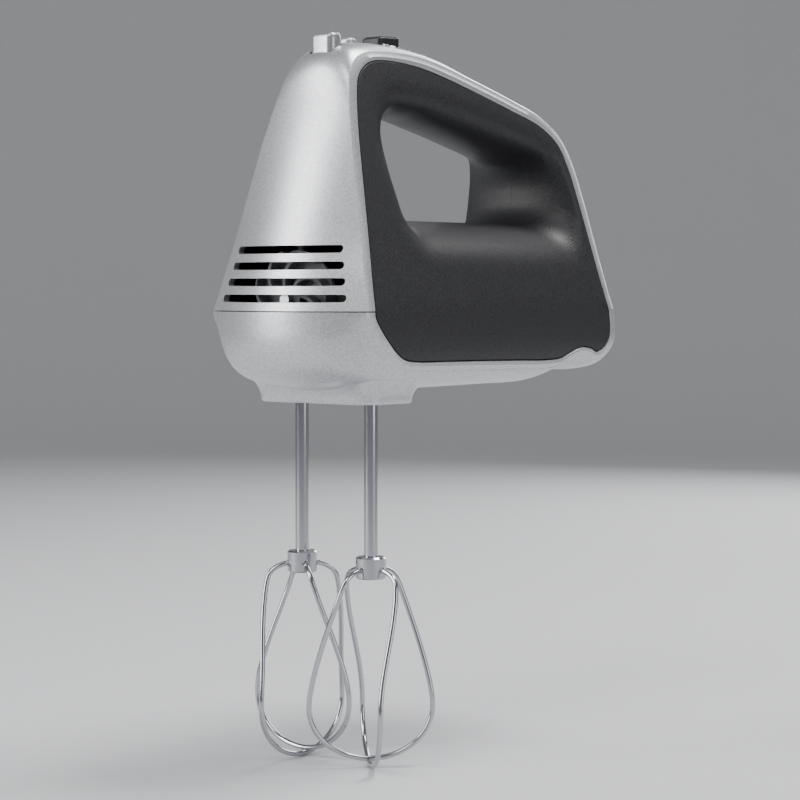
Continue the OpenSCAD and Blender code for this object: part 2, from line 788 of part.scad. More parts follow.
yoke_z = pin_top + 1.5 + 0.3;
yoke_t = 4;
rod_y = button_y + 3.4;
rod_r = 2.6;
guide_z = shelf_z + 19;
guide_t = 3;
spring_free = 25;
spring_z0 = guide_z + guide_t;
flange_z = spring_z0 + spring_free;
button_low = deck_z - 17;
module eject_rod() {
    color([0.3, 0.3, 0.32]) {
        translate([-half_gap - 5, -4, yoke_z]) cube([spindle_gap + 10, 8, yoke_t]);
        translate([0, rod_y, yoke_z]) cylinder(r = rod_r, h = button_low - yoke_z);
        translate([0, rod_y, flange_z]) cylinder(r = 5.4, h = 2);
    }
}
module eject_guide() {
    edge = rod_y + 6;       // clear of the grip opening's wall
    color([0.2, 0.2, 0.22]) difference() {
        intersection() {
            body_form(wall + seam + ledge_t);
            translate([-far / 2, -far / 2, guide_z]) cube([far, far / 2 + edge, guide_t]);
        }
        translate([0, rod_y, guide_z - 1]) cylinder(r = rod_r + fit, h = guide_t + 2);
    }
}
module eject_spring() {
    coils = 7;
    spring_r = 4;
    color("silver") for (i = [0 : coils - 1])
        translate([0, rod_y, spring_z0 + 0.5 + i * (spring_free - 1) / (coils - 1)])
            rotate_extrude() translate([spring_r, 0]) circle(r = 0.45, $fn = 16);
}
module eject_button() {
    bx = button_size[0];
    by = button_size[1];
    color([0.74, 0.75, 0.77]) difference() {
        union() {
            translate([0, button_y, deck_z - 13]) linear_extrude(15.5) rounded_box(bx, by, 2.4);
            translate([0, button_y, deck_z + 2.4]) linear_extrude(0.9)
                rounded_box(bx - 1.2, by - 1.2, 2);
            translate([0, rod_y, button_low]) cylinder(r = rod_r + 0.8, h = 8);
        }
        translate([0, rod_y, button_low - 1]) cylinder(r = rod_r + press, h = 6);
    }
}
module rounded_box(x, y, r) {
    polygon(rounded([[x / 2, -y / 2, r], [x / 2, y / 2, r], [-x / 2, y / 2, r], [-x / 2, -y / 2, r]]));
}

// Beaters --------------------------------------------------------------------------

collar_top = -beater_drop;
collar_low = collar_top - collar_h;
exit_z = collar_low + 4.1;      // where the wires leave the collar
wire_r = wire_d / 2;
wire_hole = wire_r + 0.08;
// Turn of the first wire exit about the spindle axis: the two beaters are set so
// that their loops pass between each other
exit_turn = [53, 87];
function beater_index(side) = side < 0 ? 0 : 1;

module beater_shaft(side) {
    color([0.82, 0.83, 0.85]) translate([side * half_gap, 0, 0]) difference() {
        union() {
            translate([0, 0, collar_low + 1]) cylinder(r = beater_r, h = shaft_top - collar_low - 1);
        }
        // Drive flats and detent groove
        for (s = [-1, 1]) translate([-10, s * (flat_half + 5) - 5, flat_base - 0.4])
            cube([20, 10, 40]);
        translate([0, 0, 12]) difference() {
            cylinder(r = 6, h = 1.6);
            translate([0, 0, -1]) cylinder(r = beater_r - 0.6, h = 4);
        }
    }
}
module left_beater_shaft() { beater_shaft(-1); }
module right_beater_shaft() { beater_shaft(1); }

module beater_collar(side) {
    rim = 0.7;
    color([0.7, 0.71, 0.73]) translate([side * half_gap, 0, 0]) difference() {
        rotate_extrude($fn = 64) translate([0, collar_low]) polygon([
            [0, 0], [collar_d / 2 - rim, 0], [collar_d / 2, rim],
            [collar_d / 2, collar_h - rim], [collar_d / 2 - rim, collar_h], [0, collar_h]]);
        translate([0, 0, collar_low + 0.9]) cylinder(r = beater_r + press, h = collar_h);
        for (k = [0 : 3]) rotate(exit_turn[beater_index(side)] + 90 * k)
            translate([beater_r + 0.6, 0, exit_z]) rotate([0, 90, 0])
                cylinder(r = wire_hole, h = collar_d, $fn = 32);
    }
}
module left_beater_collar() { beater_collar(-1); }
module right_beater_collar() { beater_collar(1); }

// Radius of a loop at depth d below its exit: a tight shoulder, a nearly straight
// leg out to the widest point, then a round turn in to the tip
widest = 0.72 * loop_h;
shoulder = 8;
function leg_out(u) = 1.09 * u - 0.09 * pow(u, 12);
function leg_r(d) = let (r0 = collar_d / 2) d < widest
    ? r0 + shoulder * (1 - exp(-d / 2)) + (loop_r - r0 - shoulder) * leg_out(d / widest)
    : loop_r * sqrt(max(0, 1 - pow((d - widest) / (loop_h - widest), 2.1)));
// Turn about the axis: grows down to the widest point, then stays
function leg_turn(d) = loop_twist * pow(sin(90 * min(1, d / widest)), 1.2);

// Points of one leg from its collar hole down to just before the tip
leg_depths = concat([for (i = [1 : 14]) widest * pow(i / 14, 2.2)],
    [for (i = [1 : 7]) widest + (loop_h - widest) * sin(90 * i / 8)]);
function leg(start, way, raise) = concat(
    [for (r = [collar_d / 2 - 2, collar_d / 2 + 0.2]) [r * cos(start), r * sin(start), exit_z]],
    [for (d = leg_depths) let (r = leg_r(d), turn = start + way * leg_turn(d))
        [r * cos(turn), r * sin(turn), exit_z - d * (loop_h - raise) / loop_h]]);
function backwards(p) = [for (i = [len(p) - 1 : -1 : 0]) p[i]];
function whole_loop(start, way, raise) = concat(leg(start, way, raise),
    [[0, 0, exit_z - loop_h + raise]], backwards(leg(start + 180, way, raise)));

// Tube along a list of points, carried round bends without turning
tube_sides = 8;
function across(v, keep) = unit(keep - (keep * v) * v);
function ways(p) = [for (i = [0 : len(p) - 1])
    unit(p[min(i + 1, len(p) - 1)] - p[max(i - 1, 0)])];
function frames(w, i = 0, got = []) = i == len(w) ? got
    : frames(w, i + 1, concat(got, [across(w[i], i == 0 ? [0, 0, 1] : got[i - 1])]));
module tube(p, r) {
    w = ways(p);
    f = frames(w);
    points = [for (i = [0 : len(p) - 1], k = [0 : tube_sides - 1])
        let (a = 360 * (k + 0.5) / tube_sides)
        p[i] + r * (cos(a) * f[i] + sin(a) * cross(w[i], f[i]))];
    last = (len(p) - 1) * tube_sides;
    polyhedron(points, concat(
        [[for (k = [tube_sides - 1 : -1 : 0]) k]], [[for (k = [0 : tube_sides - 1]) last + k]],
        [for (i = [0 : len(p) - 2], k = [0 : tube_sides - 1])
            let (a = i * tube_sides + k, b = i * tube_sides + (k + 1) % tube_sides)
            [a, b, b + tube_sides, a + tube_sides]]));
}

module beater_wire(side, over) {
    start = exit_turn[beater_index(side)] + (over == (side < 0) ? 90 : 0);
    color([0.85, 0.86, 0.88]) translate([side * half_gap, 0, 0])
        tube(whole_loop(start, -side, over ? wire_d + 0.4 : 0), wire_r);
}
module left_under_wire() { beater_wire(-1, false); }
module left_over_wire() { beater_wire(-1, true); }
module right_under_wire() { beater_wire(1, false); }
module right_over_wire() { beater_wire(1, true); }

// Controls and wiring ----------------------------------------------------------------

switch_z = deck_z - 25;
switch_h = 9;
switch_y = slider_y - 13;
switch_len = slider_travel + 24;
switch_screw_y = [switch_y + 2, switch_y + switch_len - 2];
module on_slide() {
    translate([0, slider_y, deck_z + 0.6]) rotate([-slide_fall, 0, 0]) children();
}
module speed_slider() {
    w = slider_size[0];
    l = slider_size[1];
    color([0.12, 0.12, 0.13]) on_slide() {
        translate([w / 2, 0, 0]) rotate([0, -90, 0]) linear_extrude(w)
            polygon(rounded([[0, -l / 2, 0.5], [0, l / 2, 0.5], [4.4, l / 2, 1], [2.6, -l / 2, 0.8]]));
        translate([-slot_half_w + 0.4, -3, -7]) cube([2 * slot_half_w - 0.8, 6, 7.5]);
    }
}
module slider_carriage() {
    color([0.85, 0.85, 0.82]) on_slide() translate([-5, -5, -19]) cube([10, 10, 12]);
}
module speed_switch() {
    color([0.82, 0.8, 0.74]) difference() {
        union() {
            translate([-7, switch_y, switch_z]) cube([14, switch_len, switch_h]);
            translate([-7, switch_y + switch_len - 1, switch_z]) cube([14, 8, 1]);
        }
        translate([-5.4, switch_y + 4, switch_z + 3]) cube([10.8, switch_len - 8, switch_h]);
        for (y = switch_screw_y) translate([0, y, switch_z - 1])
            cylinder(r = small_r + press, h = switch_h + 2, $fn = 24);
    }
}
module switch_screws() {
    color("silver") for (y = switch_screw_y) translate([0, y, switch_z]) mirror([0, 0, 1])
        small_screw(small_r, 1.9, switch_h + 4);
}
board_y = switch_y + switch_len;
board_z = switch_z + 1;
module control_board() {
    color([0.1, 0.35, 0.2]) translate([-9, board_y, board_z]) cube([18, 26, 1.6]);
}
module board_diodes() {
    color([0.12, 0.12, 0.13]) for (i = [0 : 3])
        translate([-4.5, board_y + 5 + i * 5, board_z + 1.6 + 1.4]) rotate([0, 90, 0])
            cylinder(r = 1.4, h = 9, $fn = 24);
}
module suppressor_capacitor() {
    color([0.75, 0.6, 0.15]) translate([-9, capacitor_y, capacitor_z]) cube([18, 10, 15]);
}
module cord_bushing() {
    color([0.1, 0.1, 0.1]) translate([0, rear_reach, cord_z]) rotate([-90, 0, 0]) difference() {
        union() {
            translate([0, 0, -12]) cylinder(r = bushing_r, h = 11.6);
            translate([0, 0, -12]) cylinder(r = bushing_r + 2, h = 5);
        }
        translate([0, 0, -13]) cylinder(r = cord_r, h = 20);
    }
}
module cord_clamp() {
    color([0.2, 0.2, 0.22]) difference() {
        translate([-12.5, clamp_y - 4, clamp_post_top]) cube([25, 8, 3.4]);
        translate([0, clamp_y - 5, cord_z]) rotate([-90, 0, 0]) cylinder(r = cord_r, h = 10);
        for (p = clamp_posts) translate([p[0], p[1], clamp_post_top - 1])
            cylinder(r = screw_r + press, h = 8, $fn = 32);
    }
}
module clamp_screws() {
    color("silver") for (p = clamp_posts) translate([p[0], p[1], clamp_post_top + 3.4])
        small_screw(screw_r, screw_head_r - 0.2, 12);
}
module terminal_block() {
    color([0.88, 0.86, 0.8]) difference() {
        translate([-10, terminal_y, terminal_z]) cube([20, 8, 9]);
        for (x = [-6, 0, 6]) translate([x, terminal_y - 1, terminal_z + 5]) rotate([-90, 0, 0])
            cylinder(r = 1.6, h = 10, $fn = 24);
    }
}

upper_housing();
lower_housing();
left_side_panel();
right_side_panel();
housing_screws();
gearbox_frame();
gearbox_cover();
frame_screws();
cover_screws();
spindle_bushes();
front_bearing();
rear_bearing();
rear_bearing_bracket();
bracket_screws();
thrust_washer();
stator_core();
field_coils();
stator_bolts();
brush_holders();
carbon_brushes();
brush_springs();
motor_shaft();
worm();
armature_core();
armature_windings();
commutator();
cooling_fan();
left_spindle();
right_spindle();
left_worm_gear();
right_worm_gear();
left_retaining_ring();
right_retaining_ring();
left_ejector_pin();
right_ejector_pin();
left_beater_shaft();
right_beater_shaft();
left_beater_collar();
right_beater_collar();
left_under_wire();
left_over_wire();
right_under_wire();
right_over_wire();
eject_button();
eject_rod();
eject_spring();
eject_guide();
speed_slider();
slider_carriage();
speed_switch();
switch_screws();
control_board();
board_diodes();
suppressor_capacitor();
cord_bushing();
cord_clamp();
clamp_screws();
terminal_block();
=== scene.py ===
# %% [markdown]
# # A silver and charcoal hand mixer
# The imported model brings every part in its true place. This lesson gives each part
# the surface that a viewer sees: painted shells that swell and crease, soft panels
# that roll into the grip, and polished beaters. Everything is in metres, and the
# helpers below take millimetres, because the real object is thought of in those.

# %% Load the frame
import json
import math

import bmesh
import bpy
import numpy as np
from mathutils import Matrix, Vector


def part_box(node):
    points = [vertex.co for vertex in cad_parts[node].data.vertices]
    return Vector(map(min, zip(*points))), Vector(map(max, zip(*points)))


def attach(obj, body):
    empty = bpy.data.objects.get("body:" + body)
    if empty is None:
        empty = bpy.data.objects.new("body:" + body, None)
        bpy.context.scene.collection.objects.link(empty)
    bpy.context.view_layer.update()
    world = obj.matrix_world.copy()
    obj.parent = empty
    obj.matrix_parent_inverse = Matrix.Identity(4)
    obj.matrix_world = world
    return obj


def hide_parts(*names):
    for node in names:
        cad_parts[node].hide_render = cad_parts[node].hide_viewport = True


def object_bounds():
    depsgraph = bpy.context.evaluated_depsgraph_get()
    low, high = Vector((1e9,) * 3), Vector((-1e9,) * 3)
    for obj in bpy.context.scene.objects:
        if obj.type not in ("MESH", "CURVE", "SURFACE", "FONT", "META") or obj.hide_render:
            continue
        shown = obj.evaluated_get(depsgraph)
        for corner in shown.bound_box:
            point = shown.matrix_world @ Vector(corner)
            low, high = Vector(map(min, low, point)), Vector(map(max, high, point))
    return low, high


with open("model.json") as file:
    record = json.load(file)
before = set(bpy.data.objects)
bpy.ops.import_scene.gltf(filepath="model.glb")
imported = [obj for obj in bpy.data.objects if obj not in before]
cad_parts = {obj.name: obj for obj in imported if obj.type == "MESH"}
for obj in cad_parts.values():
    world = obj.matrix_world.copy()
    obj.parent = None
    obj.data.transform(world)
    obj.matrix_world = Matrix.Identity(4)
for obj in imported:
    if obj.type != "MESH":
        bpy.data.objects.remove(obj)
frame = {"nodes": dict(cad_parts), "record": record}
cad_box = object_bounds()
nodes = frame["nodes"]
MM = 0.001
print("parts from the frame:", len(nodes))

# %% [markdown]
# ## Small helpers
# A mesh is a list of corners and a list of faces. `mesh_piece` turns both into an
# object, turns all its faces outwards and shades it smooth, but keeps edges sharp
# where two faces meet at a clear angle.

# %% Mesh helpers
def srgb(code):
    """Linear colour from a hex code, as the eye names it."""
    parts = [int(code[i:i + 2], 16) / 255 for i in (0, 2, 4)]
    return [c / 12.92 if c <= 0.04045 else ((c + 0.055) / 1.055) ** 2.4 for c in parts] + [1]


def finish_mesh(mesh, sharp_deg=32, outwards=True):
    """Smooth shading with sharp edges where faces turn by more than sharp_deg."""
    b = bmesh.new()
    b.from_mesh(mesh)
    if outwards:
        bmesh.ops.recalc_face_normals(b, faces=b.faces)
    for face in b.faces:
        face.smooth = True
    for edge in b.edges:
        edge.smooth = len(edge.link_faces) != 2 or edge.calc_face_angle(0) < math.radians(sharp_deg)
    b.to_mesh(mesh)
    b.free()


def mesh_piece(name, points_mm, faces, sharp_deg=32):
    mesh = bpy.data.meshes.new(name)
    mesh.from_pydata([[float(c) * MM for c in p] for p in points_mm], [], faces)
    mesh.validate()
    finish_mesh(mesh, sharp_deg)
    piece = bpy.data.objects.new(name, mesh)
    bpy.context.scene.collection.objects.link(piece)
    return piece


def grid_faces(rows, cols, wrap=True, start=0):
    """Quads of a grid of corners; wrap joins the last column to the first."""
    last = cols if wrap else cols - 1
    return [[start + r * cols + c, start + r * cols + (c + 1) % cols,
             start + (r + 1) * cols + (c + 1) % cols, start + (r + 1) * cols + c]
            for r in range(rows - 1) for c in range(last)]


def smooth_rows(rows, count):
    """Smooth curve through rows of numbers, sampled evenly along the first two."""
    rows = np.array(rows, float)
    step = np.hypot(*np.diff(rows[:, :2], axis=0).T)
    t = np.concatenate([[0], np.cumsum(np.sqrt(step))])
    slope = np.gradient(rows, t, axis=0)
    fine = np.linspace(0, t[-1], 6000)
    i = np.clip(np.searchsorted(t, fine, side="right") - 1, 0, len(t) - 2)
    w = (t[i + 1] - t[i])[:, None]
    u = ((fine - t[i]) / w[:, 0])[:, None]
    curve = ((2 * u**3 - 3 * u**2 + 1) * rows[i] + (u**3 - 2 * u**2 + u) * w * slope[i]
             + (3 * u**2 - 2 * u**3) * rows[i + 1] + (u**3 - u**2) * w * slope[i + 1])
    run = np.concatenate([[0], np.cumsum(np.hypot(*np.diff(curve[:, :2], axis=0).T))])
    even = np.linspace(0, run[-1], count)
    return np.array([np.interp(even, run, curve[:, k]) for k in range(rows.shape[1])]).T


def rounded(corners, steps=10):
    """Closed outline through [y, z, radius] corners, each rounded by an arc."""
    out = []
    n = len(corners)
    for i, (y, z, r) in enumerate(corners):
        p = np.array([y, z], float)
        a = np.array(corners[i - 1][:2], float) - p
        b = np.array(corners[(i + 1) % n][:2], float) - p
        a, b = a / np.linalg.norm(a), b / np.linalg.norm(b)
        half = math.acos(max(-1, min(1, float(a @ b)))) / 2
        middle = p + (a + b) / np.linalg.norm(a + b) * r / math.sin(half)
        start = p + a * r / math.tan(half) - middle
        way = -1 if a[0] * b[1] - a[1] * b[0] > 0 else 1
        for k in range(steps + 1):
            t = way * (math.pi - 2 * half) * k / steps
            out.append(middle + [start[0] * math.cos(t) - start[1] * math.sin(t),
                                 start[0] * math.sin(t) + start[1] * math.cos(t)])
    return np.array(out)


# %% [markdown]
# ## Materials
# Each finish is a small tree of nodes. All patterns use object coordinates, which are
# metres here, so a scale of 1 / 0.0003 gives a grain 0.3 mm across, as on the real
# moulding. A fine grain never reads as a picture of bumps: it only breaks up the
# highlights, and that is what tells the eye "paint" or "soft plastic" or "steel".

# %% Material helpers
def new_material(name):
    mat = bpy.data.materials.new(name)
    mat.use_nodes = True
    return mat, mat.node_tree.nodes["Principled BSDF"]


def add(tree, kind, links=(), stops=(), **values):
    """Adds a node, sets its inputs, properties or ramp stops, and links it from sockets."""
    node = tree.nodes.new(kind)
    for key, value in values.items():
        if key in node.inputs:
            node.inputs[key].default_value = value
        else:
            setattr(node, key, value)
    for k, (position, colour) in enumerate(stops):
        node.color_ramp.elements[k].position = position
        node.color_ramp.elements[k].color = colour
    for socket, source in links:
        tree.links.new(source, node.inputs[socket])
    return node


def wire_up(mat, source, shader, socket):
    mat.node_tree.links.new(source, shader.inputs[socket])


def object_space(mat, stretch=(1, 1, 1)):
    place = add(mat.node_tree, "ShaderNodeTexCoord")
    return add(mat.node_tree, "ShaderNodeMapping", [("Vector", place.outputs["Object"])],
               Scale=stretch).outputs["Vector"]


def grain(mat, shader, size_mm, depth_mm, stretch=(1, 1, 1), detail=3.0):
    """Bump from noise of a real size and depth."""
    noise = add(mat.node_tree, "ShaderNodeTexNoise", [("Vector", object_space(mat, stretch))],
                Scale=1 / (size_mm * MM), Detail=detail)
    bump = add(mat.node_tree, "ShaderNodeBump", [("Height", noise.outputs["Fac"])],
               Strength=1.0, Distance=depth_mm * MM)
    wire_up(mat, bump.outputs["Normal"], shader, "Normal")
    return noise.outputs["Fac"]


# %% [markdown]
# ## Silver paint
# Metal flakes float in the paint at random tilts, so it sparkles very finely and looks
# paler where it faces the light. Real flakes are 0.05 mm; here they are drawn as
# cells 0.4 mm across, coarse enough to show at arm's length. A picture could hold the
# flakes, but a cell pattern needs no seams and keeps its size on every piece.

# %% Silver flake paint
FLAKE = 0.4         # mm


def flake_paint(name, colour, dark, rough, orange_peel=0.006):
    mat, shader = new_material(name)
    tree = mat.node_tree
    cells = add(tree, "ShaderNodeTexVoronoi", [("Vector", object_space(mat))],
                Scale=1 / (FLAKE * MM))
    shade = add(tree, "ShaderNodeSeparateColor", [("Color", cells.outputs["Color"])])
    tint = add(tree, "ShaderNodeValToRGB", [("Fac", shade.outputs[0])],
               [(0.0, srgb(dark)), (1.0, srgb(colour))])
    peel = grain(mat, shader, 0.5, orange_peel)
    band = add(tree, "ShaderNodeMapRange", [("Value", peel)],
               **{"To Min": rough - 0.05, "To Max": rough + 0.06})
    wire_up(mat, tint.outputs["Color"], shader, "Base Color")
    wire_up(mat, band.outputs["Result"], shader, "Roughness")
    shader.inputs["Metallic"].default_value = 0.72
    shader.inputs["Coat Weight"].default_value = 0.18
    shader.inputs["Coat Roughness"].default_value = 0.22
    return mat


silver_paint = flake_paint("silver_flake_paint", "d3d4d7", "b0b2b6", 0.36)
button_paint = flake_paint("satin_button_paint", "bfc2c6", "989ba0", 0.30, 0.003)
print("paints:", silver_paint.name, button_paint.name)

# %% [markdown]
# ## Plastics
# Soft-touch plastic is dark and matt, and its mould was etched. The real grain is about
# a third of a millimetre across and too fine to show, so it is drawn 1 mm across. One
# recipe serves every plastic: a colour, a roughness, and a grain of real size and depth,
# whose low spots are also drawn darker in colour as painted shade in the grain's hollows.

# %% Soft-touch panels, black plastic, nylon and the rest
def plastic(name, colour, rough, size_mm=0.35, depth_mm=0.012, sheen=0.0, hollow_shade=0.04):
    mat, shader = new_material(name)
    fac = grain(mat, shader, size_mm, depth_mm)
    # Painted shade: the colour darkens towards the low spots of the grain's bump
    low = [c * (1 - hollow_shade * 3) for c in srgb(colour)[:3]] + [1]
    tint = add(mat.node_tree, "ShaderNodeValToRGB", [("Fac", fac)],
               [(0.3, low), (0.7, srgb(colour))])
    band = add(mat.node_tree, "ShaderNodeMapRange", [("Value", fac)],
               **{"To Min": rough - 0.05, "To Max": rough + 0.05})
    wire_up(mat, tint.outputs["Color"], shader, "Base Color")
    wire_up(mat, band.outputs["Result"], shader, "Roughness")
    shader.inputs["IOR"].default_value = 1.47
    shader.inputs["Sheen Weight"].default_value = sheen
    shader.inputs["Sheen Roughness"].default_value = 0.45
    return mat


# The panels' grain carries the strongest painted shade in its hollows
soft_touch = plastic("soft_touch_charcoal", "2d2d30", 0.50, 1.0, 0.16, 0.0, 0.24)
black_plastic = plastic("black_moulded_plastic", "17171a", 0.42, 0.3, 0.012)
black_nylon = plastic("glass_filled_nylon", "1d1e20", 0.5, 0.25, 0.01)
pale_nylon = plastic("natural_acetal", "dcd9cf", 0.4, 0.5, 0.004)
cream_plastic = plastic("cream_phenolic", "cfc8b4", 0.45, 0.4, 0.006)
fan_plastic = plastic("grey_polypropylene", "77797d", 0.5, 0.5, 0.006)
soft_pvc = plastic("flexible_pvc", "141415", 0.6, 0.4, 0.01)
green_board = plastic("green_laminate", "1d5a34", 0.3, 0.8, 0.003)
yellow_case = plastic("yellow_capacitor_case", "c9a22e", 0.35, 0.6, 0.004)
carbon = plastic("pressed_carbon", "1b1b1d", 0.7, 0.2, 0.02)

# %% [markdown]
# ## Metals
# Drawn wire and turned steel carry fine marks along one direction. The marks are noise
# stretched along one axis, which bends the highlight into streaks. Copper windings and
# stacked laminations are the same recipe with coarser, deeper marks.

# %% Steels, zinc, copper, bronze and brass
def metal(name, colour, rough, stretch=(1, 1, 0.03), size_mm=0.12, depth_mm=0.0006):
    mat, shader = new_material(name)
    fac = grain(mat, shader, size_mm, depth_mm, stretch)
    shader.inputs["Base Color"].default_value = srgb(colour)
    band = add(mat.node_tree, "ShaderNodeMapRange", [("Value", fac)],
               **{"To Min": rough * 0.75, "To Max": rough * 1.3})
    wire_up(mat, band.outputs["Result"], shader, "Roughness")
    shader.inputs["Metallic"].default_value = 1.0
    return mat


steel = metal("polished_drawn_steel", "b8babe", 0.13)
turned_steel = metal("turned_steel", "b9bbbf", 0.28, (1, 0.05, 1), 0.15)
zinc = metal("zinc_plated_steel", "b4b7ba", 0.34, (1, 1, 1), 0.4, 0.002)
spring_wire = metal("spring_wire", "a8aaae", 0.3, (1, 1, 0.2))
laminations = metal("stacked_laminations", "6d7076", 0.5, (0.02, 1, 0.02), 0.5, 0.03)
copper = metal("varnished_copper_wire", "a8572c", 0.35, (0.05, 1, 0.05), 0.4, 0.05)
bronze = metal("sintered_bronze", "a9763e", 0.45, (1, 1, 1), 0.25, 0.004)
brass = metal("folded_brass", "c7a24d", 0.3, (0.1, 1, 1), 0.2, 0.001)

by_slot = {
    "silver_shell": silver_paint, "charcoal_panel": soft_touch, "satin_silver": button_paint,
    "black_control": black_plastic, "black_nylon": black_nylon, "natural_nylon": pale_nylon,
    "cream_plastic": cream_plastic, "polished_steel": steel, "turned_steel": turned_steel,
    "zinc_screw": zinc, "spring_steel": spring_wire, "lamination": laminations,
    "copper_winding": copper, "sintered_bronze": bronze, "brass_sheet": brass,
    "carbon": carbon, "fan_plastic": fan_plastic, "board_green": green_board,
    "capacitor_yellow": yellow_case, "soft_pvc": soft_pvc}
for part in frame["record"]["subparts"]:
    looks = nodes[part["node"]].data.materials
    if len(looks) == 0:
        looks.append(by_slot[part["material_slot"]])
    for i in range(len(looks)):
        looks[i] = by_slot[part["material_slot"]]
print("materials:", len(by_slot))

# %% [markdown]
# ## The shape of the shells
# Seen from the side, the silver shells are a rim around the charcoal panel. Seen from
# the front, they swell between their two rims. So each shell is lofted through
# stations that run round the side view. A station holds three points, as height above
# the boss and distance behind the spindles: the crease where rim meets crown, the
# panel's edge, and the middle of the crown. The last number is how boxy the crown is.

# %% Stations of the two shells, in mm
SPLIT_Z = 39.5      # the seam between the two shells
HALF_W = 45.05      # half the width at the seam
LEAN = 0.2568       # the flanks lean in by this much per mm above the seam


def flank(z):
    """Half the width across the panels at height z."""
    z = np.asarray(z, float)
    return np.where(z > SPLIT_Z, HALF_W - LEAN * (z - SPLIT_Z),
                    HALF_W - np.maximum(0, 28 - z) ** 2 / 55)


#   crease y, z     panel edge y, z  middle y, z     boxiness
upper_rows = [
    (-30.4, 39.75, -25.9, 39.75, -43.0, 39.75, 0.0),
    (-28.2, 53.0, -24.0, 53.0, -39.2, 53.0, 0.0),
    (-25.4, 67.5, -21.6, 67.5, -35.2, 67.5, 0.0),
    (-22.1, 91.0, -18.0, 91.0, -28.6, 91.0, 0.0),
    (-18.4, 114.8, -14.2, 115.0, -22.0, 115.2, 0.0),
    (-14.6, 132.0, -10.4, 131.6, -16.9, 132.9, 0.1),
    (-11.6, 140.6, -7.4, 139.0, -14.2, 144.2, 0.2),
    (-6.6, 146.8, -2.6, 143.6, -9.8, 151.0, 0.3),
    (1.0, 150.2, 4.0, 146.6, -3.3, 154.4, 0.3),
    (17.0, 151.6, 17.6, 147.5, 17.0, 156.2, 0.3),
    (38.0, 150.8, 36.5, 146.0, 38.5, 154.6, 0.4),
    (54.0, 147.9, 51.5, 143.0, 55.0, 151.9, 0.4),
    (72.0, 143.0, 70.0, 138.2, 73.2, 146.5, 0.4),
    (100.0, 135.0, 97.5, 130.4, 101.0, 138.5, 0.4),
    (121.0, 127.6, 117.0, 124.2, 122.8, 131.6, 0.3),
    (132.4, 118.4, 127.9, 116.6, 135.3, 121.2, 0.3),
    (137.2, 107.0, 132.2, 106.2, 140.3, 108.0, 0.3),
    (140.0, 91.0, 135.0, 90.6, 143.0, 91.4, 0.3),
    (142.2, 70.0, 137.6, 70.0, 145.4, 70.2, 0.3),
    (144.6, 50.0, 140.2, 50.0, 147.9, 50.0, 0.3),
    (146.2, 39.75, 141.9, 39.75, 149.6, 39.75, 0.3)]
lower_rows = [
    (146.6, 39.25, 142.0, 39.25, 150.2, 39.25, 0.3),
    (147.8, 31.0, 143.0, 31.2, 151.1, 30.5, 0.4),
    (146.6, 23.6, 141.9, 25.4, 150.4, 21.5, 0.5),
    (141.4, 17.2, 137.6, 21.2, 145.6, 12.4, 0.5),
    (135.4, 15.6, 133.4, 19.9, 137.2, 10.6, 0.4),
    (128.4, 17.4, 128.2, 21.6, 128.6, 16.4, 0.2),
    (120.0, 18.0, 120.6, 22.2, 120.0, 17.4, 0.2),
    (111.0, 15.2, 113.2, 20.0, 111.0, 14.2, 0.2),
    (104.0, 12.8, 106.4, 17.6, 103.0, 8.4, 0.6),
    (96.0, 12.2, 97.2, 16.9, 96.0, 6.3, 0.7),
    (74.0, 12.6, 74.0, 17.2, 74.0, 5.7, 0.7),
    (46.0, 13.0, 46.0, 17.6, 46.0, 5.3, 0.7),
    (19.0, 13.2, 19.0, 17.8, 17.0, 5.2, 0.7),
    (3.0, 13.6, 4.2, 18.0, -4.0, 5.3, 0.6),
    (-8.0, 15.6, -5.6, 19.2, -21.0, 6.0, 0.55),
    (-15.4, 19.6, -12.6, 22.8, -33.0, 9.2, 0.5),
    (-21.6, 25.2, -18.2, 27.6, -40.2, 15.4, 0.4),
    (-27.2, 32.0, -23.3, 33.2, -43.2, 25.6, 0.25),
    (-30.2, 36.6, -25.8, 37.0, -43.6, 34.0, 0.05),
    (-30.7, 39.25, -26.1, 39.25, -43.6, 39.25, 0.0)]
upper = smooth_rows(upper_rows, 190)
lower = smooth_rows(lower_rows, 190)
print("stations:", len(upper), "above the seam and", len(lower), "below it")

# %% [markdown]
# ## The loft
# Each station becomes one closed ring: out along the rim, across the crown, and back
# inside the wall. A subdivided cage could swell as softly, but its crease between rim
# and crown would wander, while a loft puts the crease exactly where the station says.

# %% Loft a shell
RIM_DROP = 0.9      # the rim slopes in by this much from panel edge to crease
WALL = 2.2          # wall thickness
crown_u = np.sin(np.radians(np.linspace(90, -90, 57)))


